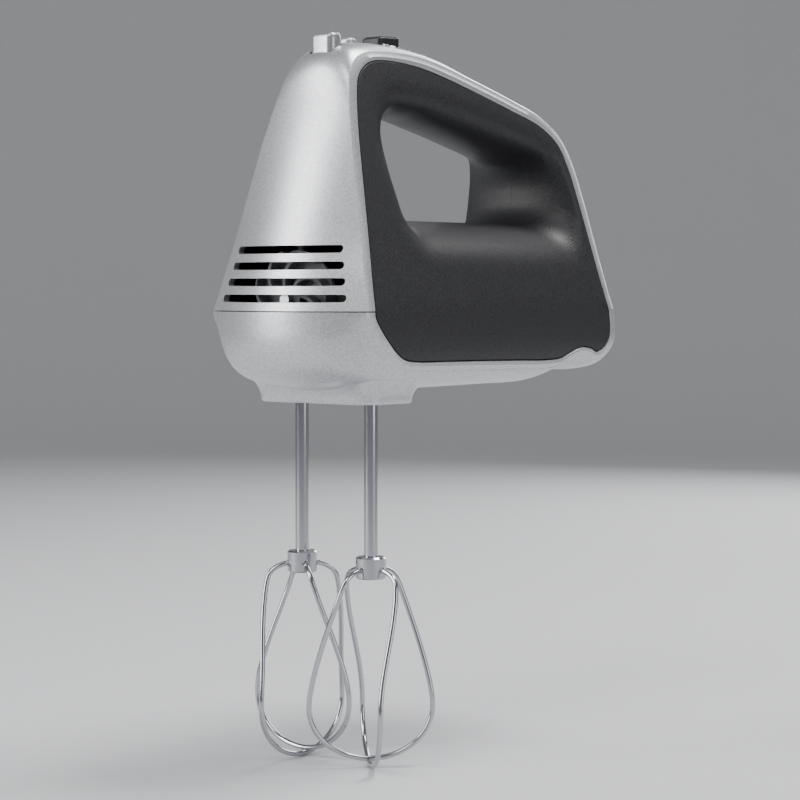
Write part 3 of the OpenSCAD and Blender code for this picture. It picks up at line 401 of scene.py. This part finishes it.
def shell_points(rows):
    """Closed ring of corners for each station: outer skin across, inner skin back."""
    tangent = np.gradient(rows[:, :2], axis=0)
    tangent /= np.linalg.norm(tangent, axis=1)[:, None]
    out = []
    for (cy, cz, py, pz, my, mz, box), (ty, tz) in zip(rows, tangent):
        normal = np.array([-tz, ty])
        if normal @ (np.array([cy, cz]) - [55, 85]) < 0:
            normal = -normal
        c, p, m = np.array([cy, cz]), np.array([py, pz]), np.array([my, mz])
        xc, xp = float(flank(cz)) - RIM_DROP, float(flank(pz))
        rim = [(xp - 1.8, 0.0), (xp - 0.28, 0.0), (xp, 0.06), (xp - 0.30 * RIM_DROP + 0.1, 0.4),
               (xc + 0.24 * RIM_DROP + 0.12, 0.8), (xc + 0.12, 0.95)]
        right = [(x, *(p + w * (c - p))) for x, w in rim]
        right_in = [(xp - 2.7 - 0.02 * k, *(p + (0.3 + 0.1 * k) * (c - 2.2 * normal - p)))
                    for k in range(len(rim))]
        lift = (1 - box) * (1 - crown_u**2) + box * (1 - np.abs(crown_u) ** 8)
        skin = [(xc * u, *(c + w * (m - c))) for u, w in zip(crown_u, lift)]
        inner = [((xc - WALL - 0.6) * u, *(c + w * (m - c) - WALL * normal))
                 for u, w in zip(crown_u, lift)]
        left = [(-x, y, z) for x, y, z in reversed(right)]
        left_in = [(-x, y, z) for x, y, z in reversed(right_in)]
        outer, inside = right + skin + left, right_in + inner + left_in
        out.append(outer + inside[::-1])
    return out


def shell(name, rows):
    rings = shell_points(rows)
    n = len(rings[0])
    half = n // 2
    faces = grid_faces(len(rings), n)
    for base, flip in ((0, 1), ((len(rings) - 1) * n, -1)):
        for k in range(half - 1):
            faces.append([base + k, base + k + 1, base + n - 2 - k, base + n - 1 - k][::flip])
    return mesh_piece(name, [p for ring in rings for p in ring], faces)


upper_shell = shell("upper_shell", upper)
lower_shell = shell("lower_shell", lower)
print("shell corners:", len(upper_shell.data.vertices), len(lower_shell.data.vertices))

# %% [markdown]
# ## A node tree that repeats a cutter
# The vent slots are one slot repeated up the front face, each shorter than the one
# below. Geometry Nodes says exactly that: a line of points, one slot on each point, and
# a width that falls with the index. The result is turned into a plain mesh and used
# once, as the tool that cuts the shell.

# %% Geometry Nodes helpers
def new_tree(name, inputs):
    """A node group with named inputs and one geometry output."""
    tree = bpy.data.node_groups.new(name, "GeometryNodeTree")
    tree.interface.new_socket("Geometry", in_out="OUTPUT", socket_type="NodeSocketGeometry")
    for label, kind in inputs:
        tree.interface.new_socket(label, in_out="INPUT", socket_type="NodeSocket" + kind)
    return tree, tree.nodes.new("NodeGroupInput"), tree.nodes.new("NodeGroupOutput")


def close_tree(tree, geometry, given, output):
    """Realize Instances, then Set Material, then the output."""
    real = add(tree, "GeometryNodeRealizeInstances", [("Geometry", geometry)])
    paint = add(tree, "GeometryNodeSetMaterial", [("Geometry", real.outputs["Geometry"]),
                                                  ("Material", given.outputs["Material"])])
    tree.links.new(paint.outputs["Geometry"], output.inputs["Geometry"])


def run_tree(name, tree, values, source=None):
    """Evaluates the tree on an object and keeps the result as a plain mesh."""
    carrier = bpy.data.objects.new(name + "_carrier", source or bpy.data.meshes.new(name))
    bpy.context.scene.collection.objects.link(carrier)
    modifier = carrier.modifiers.new("tree", "NODES")
    modifier.node_group = tree
    for item in tree.interface.items_tree:
        if item.item_type == "SOCKET" and item.in_out == "INPUT" and item.name in values:
            modifier[item.identifier] = values[item.name]
    bpy.context.view_layer.update()
    shown = carrier.evaluated_get(bpy.context.evaluated_depsgraph_get())
    mesh = bpy.data.meshes.new_from_object(shown)
    bpy.data.objects.remove(carrier)
    mesh.name = name
    piece = bpy.data.objects.new(name, mesh)
    bpy.context.scene.collection.objects.link(piece)
    return piece


# %% [markdown]
# ## The slot cutter
# A vent slot is a flat bar with round ends. Its mouth is wider than its back, and its
# lower face slopes down and out, so that it catches the light as a bright lip.

# %% Slot mesh and the tree that repeats it
def slot_mesh(half, height, steps=10):
    """A slot lying along X, wider at its front (-Y) mouth than at the back."""
    ring = []
    r = height / 2
    for side in (1, -1):
        for k in range(steps + 1):
            a = math.radians(180 * k / steps - 90 * side)
            ring.append((side * (half - r) + math.cos(a) * r, math.sin(a) * r))
    n = len(ring)
    points = []
    for y, grow, drop in ((-18, 0.7, -0.5), (0.2, 0.0, 0.0), (30, 0.0, 0.0)):
        points += [(x + math.copysign(grow / 2, x), y, z + (drop if z < 0 else 0.12 * grow))
                   for x, z in ring]
    faces = grid_faces(3, n) + [list(range(n))[::-1], [2 * n + k for k in range(n)]]
    mesh = bpy.data.meshes.new("slot")
    mesh.from_pydata([[c * MM for c in p] for p in points], [], faces)
    return mesh


slot_tool = bpy.data.objects.new("slot_tool", slot_mesh(35.2, 3.0))
bpy.context.scene.collection.objects.link(slot_tool)
tree, given, output = new_tree("repeat_slots", [
    ("Count", "Int"), ("Rise", "Vector"), ("Start", "Vector"), ("Shrink", "Float"),
    ("Tool", "Object"), ("Material", "Material")])
line = add(tree, "GeometryNodeMeshLine", [
    ("Count", given.outputs["Count"]), ("Offset", given.outputs["Rise"]),
    ("Start Location", given.outputs["Start"])])
tool = add(tree, "GeometryNodeObjectInfo", [("Object", given.outputs["Tool"])])
index = add(tree, "GeometryNodeInputIndex")
fall = add(tree, "ShaderNodeMath", [(0, index.outputs[0]), (1, given.outputs["Shrink"])],
           operation="MULTIPLY")
width = add(tree, "ShaderNodeMath", [(1, fall.outputs[0])], operation="SUBTRACT")
width.inputs[0].default_value = 1.0
scale = add(tree, "ShaderNodeCombineXYZ", [("X", width.outputs[0])], Y=1.0, Z=1.0)
spots = add(tree, "GeometryNodeInstanceOnPoints", [
    ("Points", line.outputs["Mesh"]), ("Instance", tool.outputs["Geometry"]),
    ("Scale", scale.outputs[0])])
close_tree(tree, spots.outputs["Instances"], given, output)
VENT_PITCH = 6.9    # from slot to slot
FACE_LEAN = 0.279   # the front face leans back by this much per mm of height
slots = run_tree("slots", tree, {
    "Count": 4, "Rise": (0, FACE_LEAN * VENT_PITCH * MM, VENT_PITCH * MM),
    "Start": (0, -29.5 * MM, 45.1 * MM), "Shrink": 0.0505, "Tool": slot_tool,
    "Material": silver_paint})
bpy.data.objects.remove(slot_tool)
finish_mesh(slots.data)
print("slot cutter faces:", len(slots.data.polygons))

# %% [markdown]
# ## The openings of the upper shell
# The mould closes round steel cores where the slots, the button, the slide and the cord
# come out. Here each core is a prism or the slot cutter, and an exact boolean takes it
# out of the shell. The places come from the boxes of the parts that pass through.

# %% Cut the openings
def prism(name, outline, low, high, axis="z"):
    """Closed prism of an outline in mm; axis y runs it along the body."""
    n = len(outline)
    place = (lambda a, b, h: (a, b, h)) if axis == "z" else (lambda a, b, h: (a, h, b))
    points = [place(a, b, h) for h in (low, high) for a, b in outline]
    faces = grid_faces(2, n) + [list(range(n))[::-1], list(range(n, 2 * n))]
    return mesh_piece(name, points, faces)


def circle(x, y, r, n=48):
    turns = [2 * math.pi * k / n for k in range(n)]
    return [(x + r * math.cos(t), y + r * math.sin(t)) for t in turns]


def box_outline(x, y, half_x, half_y, r):
    corners = [(x + half_x, y - half_y, r), (x + half_x, y + half_y, r),
               (x - half_x, y + half_y, r), (x - half_x, y - half_y, r)]
    return [tuple(p) for p in rounded(corners, 8)]


def cut(piece, tools, sharp_deg=30):
    """Takes the tools out of a piece, and removes them."""
    for tool in tools:
        modifier = piece.modifiers.new("cut", "BOOLEAN")
        modifier.operation, modifier.solver, modifier.object = "DIFFERENCE", "EXACT", tool
    shown = piece.evaluated_get(bpy.context.evaluated_depsgraph_get())
    mesh = bpy.data.meshes.new_from_object(shown)
    piece.modifiers.clear()
    piece.data = mesh
    finish_mesh(mesh, sharp_deg, outwards=False)
    for tool in tools:
        bpy.data.objects.remove(tool)


BUTTON_DEPTH = 8.0  # of the button's key; its box also holds the stem
button_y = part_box("eject_button")[0][1] / MM + BUTTON_DEPTH / 2
thumb_low, thumb_high = [np.array(c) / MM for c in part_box("speed_slider")]
screw_low, screw_high = [np.array(c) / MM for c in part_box("housing_screws")]
bush_low, bush_high = [np.array(c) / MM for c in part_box("cord_bushing")]
bush_z = (bush_low[2] + bush_high[2]) / 2
slot_y = (thumb_low[1] + 2, thumb_high[1] + 22)
cut(upper_shell, [
    slots,
    prism("button_hole", box_outline(0, button_y, 6.6, 4.3, 2.0), 140, 175),
    prism("thumb_slot", box_outline(
        0, sum(slot_y) / 2, 2.6, (slot_y[1] - slot_y[0]) / 2, 1.5), 145, 175),
    prism("bush_hole", circle(0, bush_z, 6.75), 138, 160, "y")])
print("upper shell faces after the cuts:", len(upper_shell.data.polygons))

# %% [markdown]
# ## The boss
# The two beaters leave through a shallow boss. It stands on a rounded rectangle and
# flares into the belly with a hollow curve, like the foot of a vase.

# %% Boss and lower shell
FLARE_X, FLARE_Y = 6.0, 9.0     # how far the boss widens on its way into the belly
FOOT_X, FOOT_Y, FOOT_R = 33, 17, 8      # half sizes and corner radius of its foot
MOUTH_R = 7.2                   # of the two holes that the beaters leave through
SEAT_R = 3.4                    # of the screw seats
under = lower[(lower[:, 5] < 16) & (lower[:, 4] < 100)]


def belly(x, y):
    """Height of the lower shell's underside below (x, y)."""
    u = min(1.0, abs(x) / 39.9)
    w = (1 - under[:, 6]) * (1 - u**2) + under[:, 6] * (1 - u**8)
    ys = under[:, 0] + w * (under[:, 4] - under[:, 0])
    zs = under[:, 1] + w * (under[:, 5] - under[:, 1])
    order = np.argsort(ys)
    return float(np.interp(y, ys[order], zs[order]))


# The foot's edge is rounded; above it the wall leaves upright and ends along the belly
levels = [(0.0, -1.1, 0), (0.25, -0.45, 0), (1.0, 0.0, 0)]
levels += [(None, 1 - math.cos(math.radians(a)), math.sin(math.radians(a)))
           for a in (10, 20, 30, 40, 50, 58, 66, 74, 82, 90)]
boss_points, boss_n = [], 0
for z, grow, rise in levels:
    grow_x, grow_y = (grow, grow) if z is not None else (FLARE_X * grow, FLARE_Y * grow)
    outline = box_outline(0, 0, FOOT_X + grow_x, FOOT_Y + grow_y, FOOT_R + grow_x)
    boss_n = len(outline)
    boss_points += [(x, y, z if z is not None else 1.0 + (belly(x, y) - 0.2) * rise)
                    for x, y in outline]
boss = mesh_piece("boss", boss_points, grid_faces(len(levels), boss_n) + [
    list(range(boss_n))[::-1], [(len(levels) - 1) * boss_n + k for k in range(boss_n)]])


def mouths(name, r):
    """The two cutters for the beaters' holes."""
    return [prism(name + side, circle(x, 0, r), -1, 20)
            for side, x in (("left", -20), ("right", 20))]


cut(boss, mouths("mouth_", MOUTH_R))
holes = mouths("mouth2_", MOUTH_R + 0.1)
for x in (screw_low[0] + 3, screw_high[0] - 3):
    holes.append(prism("seat_%d" % x, circle(x, screw_high[1] - 3, SEAT_R, 32), -5, 22))
holes.append(prism("drain", box_outline(20, 42, 1.2, 4.0, 1.0), -5, 12))
cut(lower_shell, holes)
print("faces after the cuts:", len(boss.data.polygons), len(lower_shell.data.polygons))

# %% [markdown]
# ## The side panels
# Each panel is half of the grip. Around the opening its flat flank rolls over in a
# quarter ellipse and meets the other half on the middle line. So the panel is a net of
# lines that fan from the opening to the panel's edge: the first part of each line is
# the roll, the rest is the flat flank.

# %% Panel net
opening = rounded([
    (15, 79.5, 14), (124.5, 79.5, 13), (125.5, 106, 13), (40, 124, 40), (12, 126, 12)], 16)
edge_loop = np.vstack([upper[:, 2:4], lower[:, 2:4]])
GAP = 0.45          # the shadow line between panel and rim
SOFT = 2.7          # above 2, the roll fades into the flank with no edge


def resample(loop, anchors, counts):
    """Points along a closed loop, a set count between each two anchor points."""
    loop = np.asarray(loop)
    at = [int(np.argmin(np.hypot(*(loop - a).T))) for a in anchors]
    out = []
    for k, a in enumerate(at):
        b = at[(k + 1) % len(at)]
        piece = loop[a:b + 1] if b > a else np.vstack([loop[a:], loop[:b + 1]])
        run = np.concatenate([[0], np.cumsum(np.hypot(*np.diff(piece, axis=0).T))])
        even = np.linspace(0, run[-1], counts[k] + 1)[:-1]
        out.append(np.array([np.interp(even, run, piece[:, j]) for j in (0, 1)]).T)
    return np.vstack(out)


# Both loops run the same way round: up the front, back along the deck, down the rear
opening = opening[::-1]
section = [44, 64, 44, 74]
inner_line = resample(opening, [(16, 84), (16, 122), (120, 107), (118, 79.5)], section)
outer_line = resample(edge_loop, [(-14, 24), (-4, 142.5), (129, 115), (143, 27)], section)
outward = np.roll(outer_line, -1, axis=0) - np.roll(outer_line, 1, axis=0)
outward = np.array([-outward[:, 1], outward[:, 0]]).T
outward /= np.linalg.norm(outward, axis=1)[:, None]
if np.mean(np.sum(outward * (outer_line - outer_line.mean(axis=0)), axis=1)) < 0:
    outward = -outward
outer_line = outer_line - GAP * outward
# How far the roll reaches from the opening, at each anchor and half way between
marks = np.cumsum([0] + section)
reach_at = sorted([*marks, *(marks[:-1] + marks[1:]) / 2])
reach = np.interp(np.arange(marks[4]), reach_at, [24, 24, 22, 20, 20, 22, 26, 24, 24])


def panel(name, side):
    lines = len(inner_line)
    rings = []
    roll = np.array([0.0006, 0.003, 0.01, 0.025, 0.05, 0.085, 0.13, 0.18, 0.24, 0.31, 0.39, 0.47,
                     0.56, 0.65, 0.74, 0.83, 0.91, 0.97])
    flat = np.array([0.0, 0.06, 0.16, 0.3, 0.45, 0.6, 0.75, 0.88, 0.97])
    gap_vec = outer_line - inner_line
    gap_len = np.linalg.norm(gap_vec, axis=1)
    way = gap_vec / gap_len[:, None]
    span = np.minimum(reach, 0.95 * gap_len)
    top = inner_line + way * span[:, None]
    # The middle seam: a small return, then the roll, the flank and the outer edge
    rings.append([(0.05, *p) for p in inner_line + way * 0.8])
    rings.append([(0.05, *p) for p in inner_line])
    for t in roll:
        at = inner_line + way * (span * t)[:, None]
        swell = (1 - (1 - t) ** SOFT) ** 0.5
        full = flank(at[:, 1])
        rings.append([(0.12 + (full[i] - 0.12) * swell, *at[i]) for i in range(lines)])
    for f in flat:
        at = top + (outer_line - top) * f
        rings.append([(flank(at[i, 1]), *at[i]) for i in range(lines)])
    for inset, sink in ((0.12, 0.02), (0.0, 0.22), (-0.02, 0.6), (-0.02, 2.0)):
        at = outer_line - outward * inset
        rings.append([(flank(at[i, 1]) - sink, *at[i]) for i in range(lines)])
    points = [(side * x, y, z) for ring in rings for x, y, z in ring]
    faces = grid_faces(len(rings), lines)
    return mesh_piece(name, points, faces, 40)


def face_outwards(piece, inside):
    """Turns an open sheet's faces so that most look away from a point inside."""
    b = bmesh.new()
    b.from_mesh(piece.data)
    score = sum(f.normal.dot(f.calc_center_median() - inside) * f.calc_area() for f in b.faces)
    if score < 0:
        bmesh.ops.reverse_faces(b, faces=b.faces)
    b.to_mesh(piece.data)
    b.free()


right_panel = panel("right_panel", 1)
left_panel = panel("left_panel", -1)
for piece in (right_panel, left_panel):
    face_outwards(piece, Vector((0, 0.06, 0.06)))
print("panel faces:", len(right_panel.data.polygons))

# %% [markdown]
# ## The beaters
# Each beater has two loops of round wire, bent out of a collar, twisted round the shaft
# on their way down and crossing at the tip. The rule for a loop is short: how far it
# stands from the shaft, and how far it has turned, at each depth. The path is a chain
# of points, and one node tree turns any such chain into a round wire.

# %% Wire tree
tree, given, output = new_tree("wire_along_path", [
    ("Path", "Geometry"), ("Wire radius", "Float"), ("Sides", "Int"), ("Material", "Material")])
path = add(tree, "GeometryNodeMeshToCurve", [("Mesh", given.outputs["Path"])])
profile = add(tree, "GeometryNodeCurvePrimitiveCircle", [
    ("Resolution", given.outputs["Sides"]), ("Radius", given.outputs["Wire radius"])])
solid = add(tree, "GeometryNodeCurveToMesh", [
    ("Curve", path.outputs["Curve"]), ("Profile Curve", profile.outputs["Curve"])])
if "Fill Caps" in solid.inputs:
    solid.inputs["Fill Caps"].default_value = True
round_it = add(tree, "GeometryNodeSetShadeSmooth", [("Geometry", solid.outputs["Mesh"])])
close_tree(tree, round_it.outputs[0], given, output)
wire_tree = tree

# %% Loop paths
collar_low, collar_high = [np.array(c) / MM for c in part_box("left_beater_collar")]
COLLAR_R = (collar_high[0] - collar_low[0]) / 2
EXIT_Z = collar_low[2] + 4.1
LOOP_R, LOOP_H, TWIST, WIRE_R = 27.0, 84.8, 38.0, 1.15
WIDEST = 0.72 * LOOP_H


def loop_radius(d):
    if d >= WIDEST:
        return LOOP_R * math.sqrt(max(0, 1 - ((d - WIDEST) / (LOOP_H - WIDEST)) ** 2.1))
    u = d / WIDEST
    return COLLAR_R + 8 * (1 - math.exp(-d / 2)) + (LOOP_R - COLLAR_R - 8) * (1.09 * u - 0.09 * u**12)


def leg(start, way, lift):
    depths = [WIDEST * (i / 44) ** 2 for i in range(1, 45)]
    depths += [WIDEST + (LOOP_H - WIDEST) * math.sin(math.pi / 2 * i / 30) for i in range(1, 30)]
    out = [(r * math.cos(start), r * math.sin(start), EXIT_Z)
           for r in (COLLAR_R - 2, COLLAR_R - 1, COLLAR_R, COLLAR_R + 0.15)]
    for d in depths:
        turn = start + way * math.radians(TWIST * math.sin(math.pi / 2 * min(1, d / WIDEST)) ** 1.2)
        r = loop_radius(d)
        out.append((r * math.cos(turn), r * math.sin(turn), EXIT_Z - d * (LOOP_H - lift) / LOOP_H))
    return out


def loop_wire(name, x, start_deg, way, lift):
    a = leg(math.radians(start_deg), way, lift)
    b = leg(math.radians(start_deg + 180), way, lift)
    points = a + [(0, 0, EXIT_Z - LOOP_H + lift)] + b[::-1]
    mesh = bpy.data.meshes.new(name + "_path")
    mesh.from_pydata([((x + px) * MM, py * MM, pz * MM) for px, py, pz in points],
                     [(i, i + 1) for i in range(len(points) - 1)], [])
    piece = run_tree(name, wire_tree, {
        "Wire radius": WIRE_R * MM, "Sides": 16, "Material": steel}, mesh)
    return piece


wires = {
    "left_under_wire": loop_wire("left_under_loop", -20, 53, 1, 0.0),
    "left_over_wire": loop_wire("left_over_loop", -20, 143, 1, 2.7),
    "right_under_wire": loop_wire("right_under_loop", 20, 177, -1, 0.0),
    "right_over_wire": loop_wire("right_over_loop", 20, 87, -1, 2.7)}
for node, piece in wires.items():
    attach(piece, node.split("_")[0] + "_beater")
    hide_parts(node)
    print(node, "faces:", len(piece.data.polygons))

# %% [markdown]
# ## Controls on the deck
# The eject button is a rounded silver key in front of a small ridge. Behind it the
# black speed control slides in a slot, beside raised figures from 0 to 5. The key and
# the slide are lofted from rounded outlines that shrink towards the top, which is how
# a moulded key gets its soft edge.

# %% Button, ridge and thumb slide
def stacked(name, layers):
    """Closed loft through layers of (outline, height or function of x and y)."""
    points, n = [], 0
    for outline, height in layers:
        n = len(outline)
        points += [(x, y, height(x, y) if callable(height) else height) for x, y in outline]
    faces = grid_faces(len(layers), n) + [
        list(range(n))[::-1], [(len(layers) - 1) * n + k for k in range(n)]]
    return mesh_piece(name, points, faces, 40)


def key_layers(y, half_x, half_y, r, base, top, edge, slope=0.0, lean=0.0):
    """Layers of a key with a rounded top edge; slope tilts its top along Y."""
    layers = [(box_outline(0, y, half_x, half_y, r), base)]
    for k in range(7):
        a = math.radians(90 * k / 6)
        inset, drop = edge * (1 - math.cos(a)), edge * (1 - math.sin(a))
        outline = box_outline(0, y + lean, half_x - inset, half_y - inset, max(0.3, r - inset))
        layers.append((outline, lambda px, py, drop=drop: top - drop + slope * (py - y) - 0.004 * px**2))
    return layers


def deck_height(y):
    """Height of the crown's middle at y, read from the stations."""
    top = upper[(upper[:, 5] > 140) & (upper[:, 4] > -12)]
    return float(np.interp(y, top[:, 4], top[:, 5]))


def deck_skin(x, y):
    """Height of the deck at (x, y)."""
    across = x / (float(flank(150)) - RIM_DROP)
    return deck_height(y) - 4.2 * (0.6 * across**2 + 0.4 * across**8)


key = stacked("eject_key", key_layers(button_y, 6.3, 4.0, 2.9, 141, 159.2, 2.2, 0.05))
ridge = stacked("deck_ridge", key_layers(8.0, 3.2, 2.9, 2.2, 150, 157.9, 1.4, 0.02))
thumb_y = (thumb_low[1] + thumb_high[1]) / 2
slide = stacked("thumb_slide", key_layers(
    thumb_y, 5.5, 6.9, 1.6, lambda x, y: deck_skin(x, y) + 0.35, 159.7, 0.9, 0.05))
tongue = prism("slide_tongue", box_outline(0, thumb_y, 2.1, 3.0, 0.4), 150.2, 156.5)
print("controls:", key.name, ridge.name, slide.name, tongue.name)

# %% [markdown]
# ## Ribs on the thumb slide
# Six low ribs give the thumb its hold. They are one rib repeated along a line, as the
# slots are, so a change of pitch or number is one value.

# %% Ribs on the thumb slide
RIB_PITCH = 2.0
rib = stacked("rib_tool", [
    (box_outline(0, 0, 4.4, 0.45, 0.3), -0.35), (box_outline(0, 0, 4.4, 0.42, 0.3), 0.1),
    (box_outline(0, 0, 4.2, 0.22, 0.2), 0.42)])
tree, given, output = new_tree("repeat_ribs", [
    ("Count", "Int"), ("Start", "Vector"), ("Step", "Vector"), ("Tool", "Object"),
    ("Material", "Material")])
line = add(tree, "GeometryNodeMeshLine", [
    ("Count", given.outputs["Count"]), ("Offset", given.outputs["Step"]),
    ("Start Location", given.outputs["Start"])])
tool = add(tree, "GeometryNodeObjectInfo", [("Object", given.outputs["Tool"])])
spots = add(tree, "GeometryNodeInstanceOnPoints", [
    ("Points", line.outputs["Mesh"]), ("Instance", tool.outputs["Geometry"])])
close_tree(tree, spots.outputs["Instances"], given, output)
ribs = run_tree("slide_ribs", tree, {
    "Count": 6, "Start": (0, (thumb_y - 5) * MM, 159.35 * MM), "Step": (0, RIB_PITCH * MM, 0.1 * MM),
    "Tool": rib, "Material": black_plastic})
bpy.data.objects.remove(rib)
print("rib faces:", len(ribs.data.polygons))

# %% [markdown]
# ## Figures beside the slot
# The speeds 0 to 5 stand up from the deck, as the mould's engraving leaves them. Each
# is a text object turned into a mesh, laid on the deck's slope at its own place.

# %% Figures beside the slot
FIGURE_X, FIGURE_Y, FIGURE_PITCH = 9.3, 22.5, 5.0
figures = []
for k in range(6):
    x, y = FIGURE_X, FIGURE_Y + FIGURE_PITCH * k
    text = bpy.data.curves.new("figure_%d" % k, "FONT")
    text.body, text.size, text.extrude = str(k), 4.2 * MM, 0.35 * MM
    text.bevel_depth = 0.1 * MM
    text.align_x = text.align_y = "CENTER"
    carrier = bpy.data.objects.new("figure_carrier", text)
    bpy.context.scene.collection.objects.link(carrier)
    shown = carrier.evaluated_get(bpy.context.evaluated_depsgraph_get())
    mesh = bpy.data.meshes.new_from_object(shown)
    bpy.data.objects.remove(carrier)
    z = deck_skin(x, y)
    tilt = math.atan((deck_skin(x - 1, y) - deck_skin(x + 1, y)) / 2)
    for v in mesh.vertices:
        px, py, pz = v.co / MM
        # The figures read from the side: their tops point to the slot
        a, b = -py, px
        v.co = Vector((x + a * math.cos(tilt) + pz * math.sin(tilt), y + b,
                       z + 0.1 - a * math.sin(tilt) + pz * math.cos(tilt))) * MM
    finish_mesh(mesh, 32, outwards=False)
    piece = bpy.data.objects.new("figure_%d" % k, mesh)
    bpy.context.scene.collection.objects.link(piece)
    figures.append(piece)
print("figures:", len(figures))

# %% [markdown]
# ## Hand-over
# Each new piece gets its look, rides on the body it moves with, and hides the part of
# the imported model that it stands in for. A piece that replaces nothing is a detail that
# the imported model doesn't have.

# %% Hand the pieces to their bodies
for piece, body, slot, look, replaced in (
        (upper_shell, "housing", "silver_shell", silver_paint, ["upper_housing"]),
        (lower_shell, "housing", "silver_shell", silver_paint, ["lower_housing"]),
        (boss, "housing", "silver_shell", silver_paint, []),
        (right_panel, "housing", "charcoal_panel", soft_touch, ["right_side_panel"]),
        (left_panel, "housing", "charcoal_panel", soft_touch, ["left_side_panel"]),
        (key, "ejector", "satin_silver", button_paint, ["eject_button"]),
        (ridge, "housing", "silver_shell", silver_paint, []),
        (slide, "speed_control", "black_control", black_plastic, ["speed_slider"]),
        (tongue, "speed_control", "black_control", black_plastic, []),
        (ribs, "speed_control", "black_control", black_plastic, []),
        *[(f, "housing", "silver_shell", silver_paint, []) for f in figures]):
    piece.data.materials.clear()
    piece.data.materials.append(look)
    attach(piece, body)
    if replaced:
        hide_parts(*replaced)

# %% [markdown]
# ## Floor
# The mixer stands on its beaters on a pale floor. A flat sheet would show its edge from
# some sides, so the floor is a wide bowl of revolution that curves up all round.

# %% Floor
floor_z = float(cad_box[0][2]) / MM - 0.2
FLAT, BEND, TURNS = 2000, 900, 64
profile = [(40, floor_z), (FLAT / 2, floor_z), (FLAT, floor_z)]
profile += [(FLAT + BEND * math.sin(a), floor_z + BEND * (1 - math.cos(a)))
            for a in map(math.radians, range(9, 91, 9))]
profile += [(FLAT + BEND, 1350)]
floor_points = [(r * math.cos(2 * math.pi * k / TURNS), r * math.sin(2 * math.pi * k / TURNS), up)
                for r, up in profile for k in range(TURNS)]
floor = mesh_piece("studio_floor", floor_points,
                   grid_faces(len(profile), TURNS) + [list(range(TURNS))], 60)
floor.data.flip_normals()
pale, pale_shader = new_material("pale_floor")
soft = grain(pale, pale_shader, 3.0, 0.02)
pale_tint = add(pale.node_tree, "ShaderNodeValToRGB", [("Fac", soft)],
                [(0.0, srgb("c9cacc")), (1.0, srgb("cfd0d2"))])
wire_up(pale, pale_tint.outputs["Color"], pale_shader, "Base Color")
pale_shader.inputs["Roughness"].default_value = 0.85
floor.data.materials.append(pale)
print("floor faces:", len(floor.data.polygons))

# %% [markdown]
# ## Lights
# Large soft lights give satin paint long gradients, and give steel the bright and dark
# streaks that make it read as steel. Small lamps would leave hard spots instead.

# %% Lights
def soft_light(name, spot, aim, size, watts):
    lamp = bpy.data.lights.new(name, "AREA")
    lamp.shape, lamp.size, lamp.size_y, lamp.energy = "RECTANGLE", size[0], size[1], watts
    holder = bpy.data.objects.new(name, lamp)
    holder.location = spot
    holder.rotation_euler = (Vector(aim) - Vector(spot)).to_track_quat("-Z", "Y").to_euler()
    bpy.context.scene.collection.objects.link(holder)


soft_light("key_front_left", (-0.8, -1.1, 0.55), (0, 0.0, 0.06), (0.5, 1.1), 17)
soft_light("front_top", (0.25, -0.9, 1.1), (0, 0.02, 0.1), (0.7, 0.5), 7)
soft_light("top_rear", (0.25, 0.45, 1.15), (0, 0.1, 0.08), (0.5, 0.5), 16)
soft_light("side_fill", (1.5, 0.1, 0.35), (0, 0.05, 0.03), (0.7, 0.9), 5)
soft_light("rear_edge", (-0.4, 1.4, 0.6), (0, 0.1, 0.08), (0.7, 0.9), 12)
world = bpy.data.worlds.new("studio")
bpy.context.scene.world = world
world.use_nodes = True
world.node_tree.nodes["Background"].inputs["Color"].default_value = (0.2, 0.205, 0.215, 1)
world.node_tree.nodes["Background"].inputs["Strength"].default_value = 0.9
print("lights:", len(bpy.data.lights))

# %% [markdown]
# ## Camera
# A long lens from low in front and to the right, at a distance of about a metre, keeps
# the uprights nearly parallel.

# %% Camera
lens = bpy.data.cameras.new("camera")
lens.lens, lens.sensor_width = 107.6, 36
camera = bpy.data.objects.new("camera", lens)
camera.location = (0.6887, -0.7775, 0.0486)
camera.rotation_euler = (math.radians(90 - 2.634), 0, math.radians(40))
bpy.context.scene.collection.objects.link(camera)
bpy.context.scene.camera = camera
print("camera at", tuple(round(c, 4) for c in camera.location))
